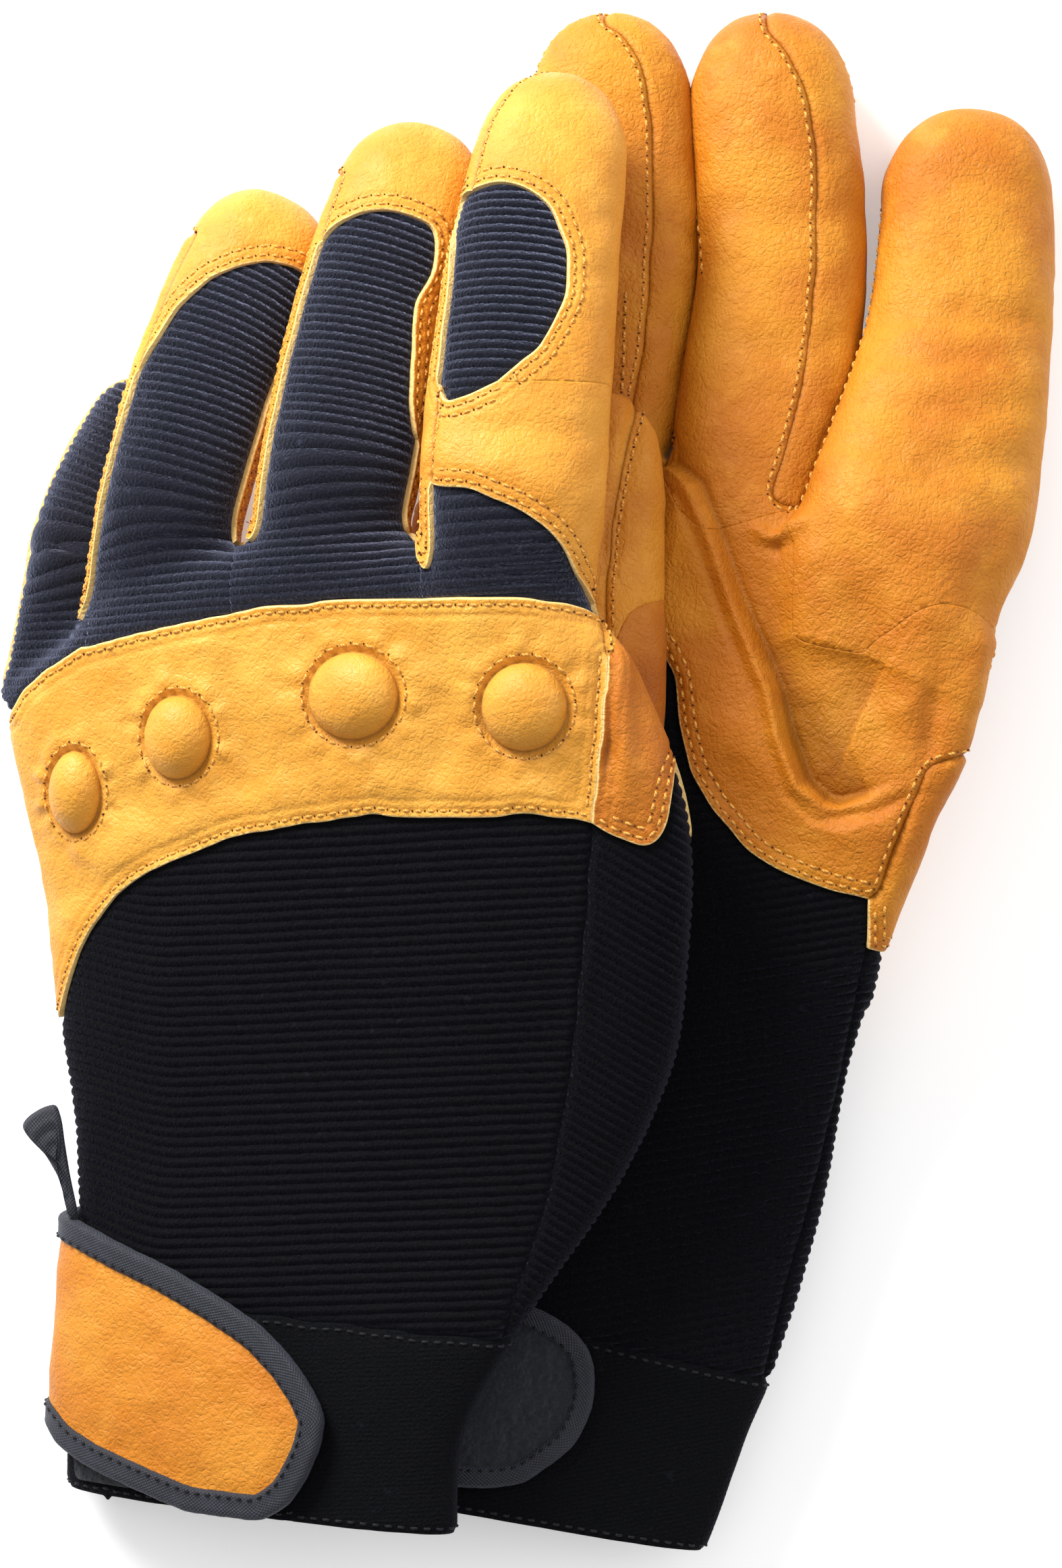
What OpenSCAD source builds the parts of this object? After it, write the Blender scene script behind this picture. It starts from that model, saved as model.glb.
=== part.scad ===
// A pair of work gloves lying one on the other: the left glove is on top with its
// back up, the right glove is underneath with its palm up. Soft tan leather palms,
// ribbed stretch-fabric backs, padded knuckle bands and wrist straps.
// Millimetres. +Z up, +Y towards the fingertips, origin under the middle of the pair.

/* [Materials] */
// Thickness of the glove leather
leather_t = 1.6; // [1.0:0.1:2.0]
// Thickness of the ribbed stretch fabric
fabric_t = 1.4; // [0.8:0.1:1.8]
// Thickness of the elastic cuff
cuff_t = 1.8; // [1.2:0.1:2.2]

/* [Knuckle pads] */
// Height of the padded domes over the knuckle band
pad_h = 5.0; // [3:0.5:6]
// Length of the domes along the hand
pad_l = 15; // [12:0.5:16]
// Share of the dome height left where the right glove's weight presses them flat
flat_pad = 0.62; // [0.4:0.02:0.7]
// Width of the domes across the hand
pad_w = 14.5; // [11:0.5:15]

/* [Strap] */
// Thickness of the strap's hook backing
strap_back_t = 1.1; // [0.8:0.1:1.2]
// Thickness of the strap's leather face
strap_face_t = 1.2; // [0.8:0.1:1.4]
// Share of the strap's half width taken by its edge binding
bind_w = 0.2; // [0.12:0.02:0.3]
// Angle round the wrist at which the strap ends
strap_end_a = 76; // [70:2:100]

/* [Fit] */
// Air gap between pieces that move apart
gap = 0.4; // [0.3:0.1:0.5]
// Squareness of the flattened hand section
hand_e = 2.6; // [2.2:0.1:3.0]
// Squareness of the finger section
finger_e = 2.3; // [2.0:0.1:2.6]

/* [Hidden] */

LEATHER = [0.90, 0.62, 0.24];
LEATHER2 = [0.97, 0.76, 0.42];
FABRIC = [0.12, 0.12, 0.16];
BINDING = [0.16, 0.17, 0.26];
FOAM = [0.95, 0.70, 0.33];
HOOK = [0.08, 0.08, 0.10];

// Hand stations from the cuff mouth to the finger roots:
// ulnar edge x, y, z, thumb-side edge x, y, z, half thickness, web bulge, hollow of the section
LEFT_HAND = [
  [-83, -126,  6.0, -13, -131, 31.5,  7.5,  0, 0],
  [-83, -110,  6.0, -12, -114, 32.0,  7.5,  0, 0],
  [-81,  -88,  6.5,  -2,  -95, 33.0,  8.0,  0, 0],
  [-81,  -63,  7.5,  13,  -73, 33.5,  9.0,  0, 0],
  [-84,  -40,  8.5,  24,  -50, 37.0, 10.0,  0, 0],
  [-86,  -20,  9.0,  27,  -30, 42.0, 10.5,  0, 0],
  [-90,    0,  9.5,  27,   -8, 46.5, 10.5,  1, 0],
  [-92,   12, 10.0,  22,    9, 49.0, 10.5,  6, 0],
  [-90,   20, 10.5,  13,   29, 50.0, 10.0, 19, 0]
];
RIGHT_HAND = [
  [-37, -125, 11.0,  31, -137, 12.0,  7.0,  0, 0],
  [-24, -100, 11.0,  40, -113, 12.5,  7.0,  0, 0],
  [-21,  -89, 10.0,  43, -105, 13.0,  7.5,  0, 0],
  [-20,  -60,  8.5,  51,  -78, 14.0,  8.0,  0, 0],
  [-20,  -32,  8.0,  60,  -51, 19.0,  8.5,  0, 1],
  [-25,   -8,  7.5,  66,  -30, 24.0,  8.5,  0, 2],
  [-27,   14,  7.5,  71,  -10, 28.0,  8.5,  0, 3],
  [-23,   33,  7.5,  78,    8, 31.0,  8.5,  3, 4],
  [-18,   54,  7.5,  84,   30, 32.0,  8.5,  8, 4]
];

// Finger stations from root to tip: x, y, z, half width, half thickness
LEFT_INDEX  = [[-3, 42, 46.5, 14.5, 10], [-2, 62, 45.5, 14.5, 10], [0, 84, 41, 14, 10], [3, 106, 34.5, 13, 9.5], [6, 123, 29.5, 11.5, 8.5]];
LEFT_MIDDLE = [[-34.5, 48, 33, 13.2, 10], [-31.2, 66, 31.5, 13.4, 10], [-27.2, 84, 28.5, 13, 9.5], [-22, 101, 25, 12.8, 9], [-16, 114.5, 21.5, 11.5, 8]];
LEFT_RING   = [[-65, 43, 22, 12, 9], [-61, 58, 23.8, 12.5, 9], [-56.2, 74, 21.5, 12.5, 9], [-50, 89, 18, 12.4, 9], [-43, 103, 14, 11.2, 8]];
LEFT_PINKY  = [[-81.3, 35.2, 10, 9.2, 7.2], [-79.5, 41, 9, 10.3, 7.5], [-75.8, 51, 8.2, 10.4, 7.4], [-71, 61, 7.8, 10, 7.2], [-66, 71.5, 7.5, 8.5, 6.8]];
LEFT_THUMB  = [[11.5, 7, 28.0, 10.8, 5.6], [11.5, 20, 28.0, 11.2, 6.2], [11.5, 38, 27.4, 11.2, 6.6], [11.5, 54, 26.8, 11, 6.6], [11.5, 68, 26.5, 9.5, 6.2]];
RIGHT_INDEX  = [[66.3, 43, 26.3, 15.3, 9.5], [72, 60, 21.5, 15.2, 10], [76, 80, 15.5, 15, 10], [78, 101, 11, 14.8, 10], [77, 120, 9.6, 13.5, 9.2]];
RIGHT_MIDDLE = [[36.5, 51, 17, 11.2, 9], [41, 70, 14, 14, 9.5], [44.6, 92, 11, 14.6, 10], [43.5, 116, 10, 14.4, 10], [41.5, 137.2, 9.5, 13.5, 9.2]];
RIGHT_RING   = [[12.7, 56, 10.2, 10.8, 8.6], [14, 72, 9.8, 13, 8.8], [15.6, 94, 9.5, 13.9, 9], [14.8, 116, 9.4, 14, 9], [13.2, 137.2, 9.2, 13, 8.8]];
RIGHT_PINKY  = [[-9, 57.5, 8.6, 10, 8.2], [-9.5, 70, 8.4, 10.5, 8.2], [-10, 84, 8.2, 10.5, 8], [-10, 96, 8.1, 10, 7.8], [-9.5, 107, 8, 8.5, 7.2]];
RIGHT_THUMB  = [[62, -11, 5.2, 12, 5.2], [61, 2, 5.2, 12.5, 5.2], [59, 15, 5.4, 12.5, 5.2], [57, 27, 5.4, 12, 5.2], [55, 38, 5.2, 10, 5.0]];

HAND_N = 28;
FING_N = 16;
// Rows of the hand along its stations
HT = [0, 0.5, 1, 1.5, 2, 2.8, 3.6, 4.3, 5.1, 6.1, 6.6, 7.1, 7.5, 7.8, 8];
CUFF_J = 4;
PALM_J = 8;
BAND_J = 9;
// Rows of a finger along its length
FT = [0, 0.18, 0.36, 0.53, 0.67, 0.79, 0.88, 0.95, 1];
TIP_J = 6;

function lim(v, a, b) = max(a, min(b, v));
function unit(v) = v / norm(v);
function smooth(x) = let(c = lim(x, 0, 1)) c * c * (3 - 2 * c);
function se(c, e) = sign(c) * pow(abs(c), 2 / e);

// Catmull-Rom value of a list of stations at a fractional index
function cr(S, t) =
  let(n = len(S) - 1, i = lim(floor(t), 0, n - 1), f = t - i,
      a = S[max(i - 1, 0)], b = S[i], c = S[i + 1], d = S[min(i + 2, n)])
  0.5 * ((2 * b) + (c - a) * f + (2 * a - 5 * b + 4 * c - d) * f * f + (3 * b - a - 3 * c + d) * f * f * f);

// What rests on the table is flattened at height zero
function rest(p) = [p[0], p[1], max(p[2], 0)];

// Point of the hand's skin at station t and angle a (0 thumb side, 90 top, 180 ulnar side)
function hand0(S, t, a) =
  let(q = cr(S, t), q0 = cr(S, max(t - 0.3, 0)), q1 = cr(S, min(t + 0.3, len(S) - 1)),
      L = [q[0], q[1], q[2]], R = [q[3], q[4], q[5]],
      C = (L + R) / 2, W = (R - L) / 2,
      A = unit([q1[0] + q1[3] - q0[0] - q0[3], q1[1] + q1[4] - q0[1] - q0[4], q1[2] + q1[5] - q0[2] - q0[5]]),
      U = unit(cross(W, A)), sx = se(cos(a), hand_e), sy = se(sin(a), hand_e))
  rest(C + W * sx + U * (q[6] * sy - q[8] * (1 - sx * sx)) + A * (q[7] * (1 - sx * sx)));
function hand_p(S, t, a, off) =
  let(n = len(S) - 1, p = hand0(S, t, a),
      d1 = hand0(S, min(t + 0.1, n), a) - hand0(S, max(t - 0.1, 0), a),
      d2 = hand0(S, t, a + 3) - hand0(S, t, a - 3))
  rest(p + unit(cross(d1, d2)) * off);

// Point of a finger's skin at u from 0 (root) to 1 (tip)
function fing0(S, u, a) =
  let(n = len(S) - 1, t = u * n, q = cr(S, t), q0 = cr(S, max(t - 0.3, 0)), q1 = cr(S, min(t + 0.3, n)),
      C = [q[0], q[1], q[2]], A = unit([q1[0] - q0[0], q1[1] - q0[1], q1[2] - q0[2]]),
      W = unit(cross(A, [0, 0, 1])), U = cross(W, A),
      r = u < 0.8 ? 1 : sqrt(max(1 - pow((u - 0.8) / 0.2, 2), 0.006)),
      sx = se(cos(a), finger_e), sy = se(sin(a), finger_e))
  rest(C + W * (q[3] * r * sx) + U * (q[4] * r * sy));
function fing_p(S, u, a, off) =
  let(p = fing0(S, u, a),
      d1 = fing0(S, min(u + 0.02, 1), a) - fing0(S, max(u - 0.02, 0), a),
      d2 = fing0(S, u, a + 4) - fing0(S, u, a - 4))
  u > 0.99 ? p + (fing0(S, 0.9, a) - fing0(S, 1, a)) * 0 + unit([S[4][0] - S[3][0], S[4][1] - S[3][1], S[4][2] - S[3][2]]) * off
           : p + unit(cross(d1, d2)) * off;

// Station of a hand row, drawn down the ulnar edge where the knuckle band runs down
function hrow(j, a) =
  let(w = smooth(1 - abs(a - 180) / 62),
      b = j <= CUFF_J ? 0 : j <= BAND_J ? (j - CUFF_J) / (BAND_J - CUFF_J) : (14 - j) / (14 - BAND_J))
  HT[j] - 1.5 * w * b;

function hand_grid(S, off) = [for (j = [0:len(HT) - 1]) [for (k = [0:HAND_N - 1])
  let(a = 360 * k / HAND_N) hand_p(S, hrow(j, a), a, off)]];
function fing_grid(S, off) = [for (j = [0:len(FT) - 1]) [for (k = [0:FING_N - 1])
  fing_p(S, FT[j], 360 * k / FING_N, off)]];

function flat(L) = [for (r = L) for (p = r) p];

// Solid piece of skin between an outer and an inner grid, made of the cells that pick() takes.
// ring says whether the grid closes round on itself.
module skin(GO, GI, pick, ring = true) {
  M = len(GO);
  N = len(GO[0]);
  C = ring ? N : N - 1;
  function on(j, k) = j >= 0 && j < M - 1 && (ring || (k >= 0 && k < C)) && pick(j, (k + N) % N);
  function o(j, k) = j * N + (k + N) % N;
  function i(j, k) = M * N + j * N + (k + N) % N;
  faces = [for (j = [0:M - 2]) for (k = [0:C - 1]) if (on(j, k)) each concat(
    [[o(j, k), o(j + 1, k), o(j + 1, k + 1)], [o(j, k), o(j + 1, k + 1), o(j, k + 1)]],
    [[i(j, k), i(j + 1, k + 1), i(j + 1, k)], [i(j, k), i(j, k + 1), i(j + 1, k + 1)]],
    on(j - 1, k) ? [] : [[o(j, k), o(j, k + 1), i(j, k + 1)], [o(j, k), i(j, k + 1), i(j, k)]],
    on(j + 1, k) ? [] : [[o(j + 1, k), i(j + 1, k + 1), o(j + 1, k + 1)], [o(j + 1, k), i(j + 1, k), i(j + 1, k + 1)]],
    on(j, k - 1) ? [] : [[o(j, k), i(j + 1, k), o(j + 1, k)], [o(j, k), i(j, k), i(j + 1, k)]],
    on(j, k + 1) ? [] : [[o(j, k + 1), o(j + 1, k + 1), i(j + 1, k + 1)], [o(j, k + 1), i(j + 1, k + 1), i(j, k + 1)]]
  )];
  polyhedron(points = concat(flat(GO), flat(GI)), faces = [for (f = faces) [f[0], f[2], f[1]]], convexity = 8);
}

// Cell number counted with the back of the hand first, for a glove lying back up or palm up
function turn(k, up, n) = up ? k : n - 1 - k;

module hand_piece(S, up, t, pick) {
  skin(hand_grid(S, 0), hand_grid(S, -t), function(j, k) pick(j, turn(k, up, HAND_N)));
}
module fing_piece(S, up, t, pick) {
  skin(fing_grid(S, 0), fing_grid(S, -t), function(j, k) pick(j, turn(k, up, FING_N)));
}

// Which cells of the hand each panel takes
is_cuff = function(j, k) j < CUFF_J;
is_back = function(j, k) j >= CUFF_J && j < BAND_J && k >= 4 && k <= 14;
is_gusset = function(j, k) j >= CUFF_J && j < BAND_J && k <= 3;
is_strip = function(j, k) j >= 6 && j < BAND_J && k >= 26;
is_wrist = function(j, k) j >= CUFF_J && j < PALM_J && k >= 15 && !(j >= 6 && k >= 26);
is_band = function(j, k) j >= BAND_J && k >= 3 && k <= 14;
is_patch = function(j, k) j >= BAND_J && k <= 2;
is_palm = function(j, k) (j >= PALM_J && k >= 15 && k <= 25) || (j >= BAND_J && k >= 26);

// Which cells of a finger each panel takes
is_fback = function(j, k) j < TIP_J && k >= 1 && k <= 6;
is_side = function(j, k) j < TIP_J && (k == 0 || k == 15 || k == 7 || k == 8);
is_front = function(j, k) j >= TIP_J || (k >= 9 && k <= 14);
is_front_sides = function(j, k) j >= TIP_J || k == 0 || k >= 7;
is_window = function(j, k) j >= 2 && j < TIP_J && k >= 1 && k <= 6;
is_saddle = function(j, k) j < 2 && k >= 1 && k <= 6;
is_tback = function(j, k) k <= 7;
is_tfront = function(j, k) k >= 8;

// Padded domes standing on the knuckle band: station, share of the half width from the
// middle, and size against the driving pad size
PADS = [[5.95, -0.8, 0.62], [6.55, -0.47, 0.82], [6.95, 0.08, 1.08], [7.0, 0.6, 1.04]];
function side_angle(s) = acos(sign(s) * pow(min(abs(s), 0.985), hand_e / 2));
module pads(S, up, h) {
  for (d = PADS) {
    q = cr(S, d[0]);
    ds = pad_w / norm([q[3] - q[0], q[4] - q[1], q[5] - q[2]]) * d[2];
    dt = pad_l / 2 / 16;
    R = [1, 0.93, 0.72, 0.4, 0.08];
    HH = [0, 0.35, 0.75, 0.95, 1];
    N = 14;
    at = function(r, k, off) let(f = 360 * k / N, aa = side_angle(d[1] + ds * R[r] * cos(f)))
      hand_p(S, min(d[0] + dt * R[r] * sin(f), 7.98), up ? aa : -aa, off);
    GO = [for (r = [0:4]) [for (k = [0:N - 1]) at(r, k, gap + 0.2 + h * HH[r])]];
    GI = [for (r = [0:4]) [for (k = [0:N - 1]) at(r, k, gap)]];
    // one closed dome: outer skin, flat underside
    P = concat(flat(GO), flat(GI), [(GO[4][0] + GO[4][N / 2]) / 2, (GI[4][0] + GI[4][N / 2]) / 2]);
    B = 5 * N;
    F = concat(
      [for (r = [0:3]) for (k = [0:N - 1]) each [[r * N + k, (r + 1) * N + k, (r + 1) * N + (k + 1) % N], [r * N + k, (r + 1) * N + (k + 1) % N, r * N + (k + 1) % N]]],
      [for (r = [0:3]) for (k = [0:N - 1]) each [[B + r * N + k, B + (r + 1) * N + (k + 1) % N, B + (r + 1) * N + k], [B + r * N + k, B + r * N + (k + 1) % N, B + (r + 1) * N + (k + 1) % N]]],
      [for (k = [0:N - 1]) each [[k, (k + 1) % N, B + (k + 1) % N], [k, B + (k + 1) % N, B + k]]],
      [for (k = [0:N - 1]) [4 * N + k, 2 * B, 4 * N + (k + 1) % N]],
      [for (k = [0:N - 1]) [B + 4 * N + k, B + 4 * N + (k + 1) % N, 2 * B + 1]]);
    polyhedron(points = P, faces = up ? F : [for (f = F) [f[0], f[2], f[1]]], convexity = 4);
  }
}

// Strap and pad sheets lie on the cuff. A sheet point is given by u along the strap from
// the ulnar edge (0) to the rounded end (1) and v across it (-1 to 1).
SU = [0, 0.14, 0.28, 0.42, 0.56, 0.7, 0.8, 0.88, 0.95, 1];
SV = [-1, -0.8, -0.4, 0, 0.4, 0.8, 1];
function round_end(u) = u < 0.62 ? 1 : sqrt(max(1 - pow((u - 0.62) / 0.38, 2), 0.05));
function sheet_p(S, a0, a1, t0, t1, h0, h1, u, v, off) =
  let(a = a0 + (a1 - a0) * u, t = t0 + (t1 - t0) * u + v * (h0 + (h1 - h0) * u) * round_end(u))
  hand_p(S, lim(t, 0.02, 7.9), a, off);
function sheet_grid(S, a0, a1, t0, t1, h0, h1, off, b) = [for (u = SU) [for (v = SV)
  sheet_p(S, a0, a1, t0, t1, h0, h1, u, abs(v) == 0.8 ? sign(v) * (1 - b) : v, off)]];
module sheet(S, q, o0, o1, pick) {
  flipped = q[1] > q[0];
  GO = sheet_grid(S, q[0], q[1], q[2], q[3], q[4], q[5], flipped ? o0 : o1, bind_w);
  GI = sheet_grid(S, q[0], q[1], q[2], q[3], q[4], q[5], flipped ? o1 : o0, bind_w);
  skin(GO, GI, pick, false);
}
is_rim = function(j, k) k == 0 || k == 5 || j >= 8;
is_field = function(j, k) k >= 1 && k <= 4 && j < 8;

// Sheets on the two cuffs: start angle, end angle, start and end station, start and end half length
LEFT_STRAP = [170, strap_end_a, 1.55, 1.02, 0.85, 0.78];
LEFT_PAD = [192, 268, 1.5, 1.15, 0.7, 0.62];
LEFT_HOOK = [150, 92, 0.66, 0.5, 0.5, 0.42];
RIGHT_STRAP = [-170, -strap_end_a, 1.35, 1.0, 0.85, 0.78];
RIGHT_PAD = [-192, -268, 1.4, 1.35, 0.75, 0.7];
RIGHT_HOOK = [-150, -92, 0.66, 0.5, 0.5, 0.42];
strap_off = 1.3;

// Small folded loop of binding at the ulnar side of the wrist
module tab(S, up) {
  a0 = up ? 166 : -166;
  a1 = up ? 156 : -156;
  GO = [for (t = [2.55, 2.75, 3.05, 3.35, 3.55]) [for (a = [a0, (a0 + a1) / 2, a1]) hand_p(S, t, a, 3.2 - abs(t - 3.05) * 2)]];
  GI = [for (t = [2.55, 2.75, 3.05, 3.35, 3.55]) [for (a = [a0, (a0 + a1) / 2, a1]) hand_p(S, t, a, gap)]];
  skin(up ? GI : GO, up ? GO : GI, function(j, k) true, false);
}

module left_palm() { color(LEATHER) hand_piece(LEFT_HAND, true, leather_t, is_palm); }
module left_wrist_panel() { color(FABRIC) hand_piece(LEFT_HAND, true, fabric_t, is_wrist); }
module left_back_panel() { color(FABRIC) hand_piece(LEFT_HAND, true, fabric_t, is_back); }
module left_side_gusset() { color(FABRIC) hand_piece(LEFT_HAND, true, fabric_t, is_gusset); }
module left_side_strip() { color(LEATHER) hand_piece(LEFT_HAND, true, leather_t, is_strip); }
module left_knuckle_band() { color(LEATHER) hand_piece(LEFT_HAND, true, leather_t, is_band); }
module left_knuckle_pads() { color(FOAM) pads(LEFT_HAND, true, pad_h); }
module left_thumb_patch() { color(LEATHER2) hand_piece(LEFT_HAND, true, leather_t, is_patch); }
module left_thumb_front() { color(LEATHER) fing_piece(LEFT_THUMB, true, leather_t, is_tfront); }
module left_thumb_back() { color(LEATHER) fing_piece(LEFT_THUMB, true, leather_t, is_tback); }
module left_index_front() { color(LEATHER2) fing_piece(LEFT_INDEX, true, leather_t, is_front); }
module left_index_back() { color(FABRIC) fing_piece(LEFT_INDEX, true, fabric_t, is_window); }
module left_index_saddle() { color(LEATHER) fing_piece(LEFT_INDEX, true, leather_t, is_saddle); }
module left_index_fourchette() { color(LEATHER) fing_piece(LEFT_INDEX, true, leather_t, is_side); }
module left_middle_front() { color(LEATHER2) fing_piece(LEFT_MIDDLE, true, leather_t, is_front); }
module left_middle_back() { color(FABRIC) fing_piece(LEFT_MIDDLE, true, fabric_t, is_fback); }
module left_middle_fourchettes() { color(LEATHER) fing_piece(LEFT_MIDDLE, true, leather_t, is_side); }
module left_ring_front() { color(LEATHER2) fing_piece(LEFT_RING, true, leather_t, is_front); }
module left_ring_back() { color(FABRIC) fing_piece(LEFT_RING, true, fabric_t, is_fback); }
module left_ring_fourchettes() { color(LEATHER) fing_piece(LEFT_RING, true, leather_t, is_side); }
module left_pinky_front() { color(LEATHER2) fing_piece(LEFT_PINKY, true, leather_t, is_front_sides); }
module left_pinky_back() { color(FABRIC) fing_piece(LEFT_PINKY, true, fabric_t, is_fback); }
module left_cuff() { color(FABRIC) hand_piece(LEFT_HAND, true, cuff_t, is_cuff); }
module left_hook_patch() { color(HOOK) sheet(LEFT_HAND, LEFT_HOOK, 0.2, 1.0, function(j, k) true); }
module left_strap_face() { color(LEATHER2) sheet(LEFT_HAND, LEFT_STRAP, strap_off + strap_back_t, strap_off + strap_back_t + strap_face_t, is_field); }
module left_strap_backing() { color(HOOK) sheet(LEFT_HAND, LEFT_STRAP, strap_off, strap_off + strap_back_t, is_field); }
module left_strap_binding() { color(BINDING) sheet(LEFT_HAND, LEFT_STRAP, strap_off, strap_off + strap_back_t + strap_face_t, is_rim); }
module left_palm_pad() { color(HOOK) sheet(LEFT_HAND, LEFT_PAD, 0.3, 2.2, is_field); }
module left_palm_pad_binding() { color(BINDING) sheet(LEFT_HAND, LEFT_PAD, 0.3, 2.6, is_rim); }
module left_pull_tab() { color(BINDING) tab(LEFT_HAND, true); }

module right_palm() { color(LEATHER) hand_piece(RIGHT_HAND, false, leather_t, is_palm); }
module right_wrist_panel() { color(FABRIC) hand_piece(RIGHT_HAND, false, fabric_t, is_wrist); }
module right_back_panel() { color(FABRIC) hand_piece(RIGHT_HAND, false, fabric_t, is_back); }
module right_side_gusset() { color(FABRIC) hand_piece(RIGHT_HAND, false, fabric_t, is_gusset); }
module right_side_strip() { color(LEATHER) hand_piece(RIGHT_HAND, false, leather_t, is_strip); }
module right_knuckle_band() { color(LEATHER) hand_piece(RIGHT_HAND, false, leather_t, is_band); }
module right_knuckle_pads() { color(FOAM) pads(RIGHT_HAND, false, pad_h * flat_pad); }
module right_thumb_patch() { color(LEATHER2) hand_piece(RIGHT_HAND, false, leather_t, is_patch); }
module right_thumb_front() { color(LEATHER) fing_piece(RIGHT_THUMB, false, leather_t, is_tfront); }
module right_thumb_back() { color(LEATHER) fing_piece(RIGHT_THUMB, false, leather_t, is_tback); }
module right_index_front() { color(LEATHER2) fing_piece(RIGHT_INDEX, false, leather_t, is_front); }
module right_index_back() { color(FABRIC) fing_piece(RIGHT_INDEX, false, fabric_t, is_window); }
module right_index_saddle() { color(LEATHER) fing_piece(RIGHT_INDEX, false, leather_t, is_saddle); }
module right_index_fourchette() { color(LEATHER) fing_piece(RIGHT_INDEX, false, leather_t, is_side); }
module right_middle_front() { color(LEATHER2) fing_piece(RIGHT_MIDDLE, false, leather_t, is_front); }
module right_middle_back() { color(FABRIC) fing_piece(RIGHT_MIDDLE, false, fabric_t, is_fback); }
module right_middle_fourchettes() { color(LEATHER) fing_piece(RIGHT_MIDDLE, false, leather_t, is_side); }
module right_ring_front() { color(LEATHER2) fing_piece(RIGHT_RING, false, leather_t, is_front); }
module right_ring_back() { color(FABRIC) fing_piece(RIGHT_RING, false, fabric_t, is_fback); }
module right_ring_fourchettes() { color(LEATHER) fing_piece(RIGHT_RING, false, leather_t, is_side); }
module right_pinky_front() { color(LEATHER2) fing_piece(RIGHT_PINKY, false, leather_t, is_front_sides); }
module right_pinky_back() { color(FABRIC) fing_piece(RIGHT_PINKY, false, fabric_t, is_fback); }
module right_cuff() { color(FABRIC) hand_piece(RIGHT_HAND, false, cuff_t, is_cuff); }
module right_hook_patch() { color(HOOK) sheet(RIGHT_HAND, RIGHT_HOOK, 0.2, 1.0, function(j, k) true); }
module right_strap_face() { color(LEATHER2) sheet(RIGHT_HAND, RIGHT_STRAP, strap_off + strap_back_t, strap_off + strap_back_t + strap_face_t, is_field); }
module right_strap_backing() { color(HOOK) sheet(RIGHT_HAND, RIGHT_STRAP, strap_off, strap_off + strap_back_t, is_field); }
module right_strap_binding() { color(BINDING) sheet(RIGHT_HAND, RIGHT_STRAP, strap_off, strap_off + strap_back_t + strap_face_t, is_rim); }
module right_palm_pad() { color(HOOK) sheet(RIGHT_HAND, RIGHT_PAD, 0.3, 2.2, is_field); }
module right_palm_pad_binding() { color(BINDING) sheet(RIGHT_HAND, RIGHT_PAD, 0.3, 2.6, is_rim); }
module right_pull_tab() { color(BINDING) tab(RIGHT_HAND, false); }

left_palm();
left_wrist_panel();
left_back_panel();
left_side_gusset();
left_side_strip();
left_knuckle_band();
left_knuckle_pads();
left_thumb_patch();
left_thumb_front();
left_thumb_back();
left_index_front();
left_index_back();
left_index_saddle();
left_index_fourchette();
left_middle_front();
left_middle_back();
left_middle_fourchettes();
left_ring_front();
left_ring_back();
left_ring_fourchettes();
left_pinky_front();
left_pinky_back();
left_cuff();
left_hook_patch();
left_strap_face();
left_strap_backing();
left_strap_binding();
left_palm_pad();
left_palm_pad_binding();
left_pull_tab();
right_palm();
right_wrist_panel();
right_back_panel();
right_side_gusset();
right_side_strip();
right_knuckle_band();
right_knuckle_pads();
right_thumb_patch();
right_thumb_front();
right_thumb_back();
right_index_front();
right_index_back();
right_index_saddle();
right_index_fourchette();
right_middle_front();
right_middle_back();
right_middle_fourchettes();
right_ring_front();
right_ring_back();
right_ring_fourchettes();
right_pinky_front();
right_pinky_back();
right_cuff();
right_hook_patch();
right_strap_face();
right_strap_backing();
right_strap_binding();
right_palm_pad();
right_palm_pad_binding();
right_pull_tab();
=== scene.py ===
import bmesh
import bpy
import math
import numpy as np
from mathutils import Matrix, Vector
from mathutils.kdtree import KDTree
from mathutils.bvhtree import BVHTree


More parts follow.
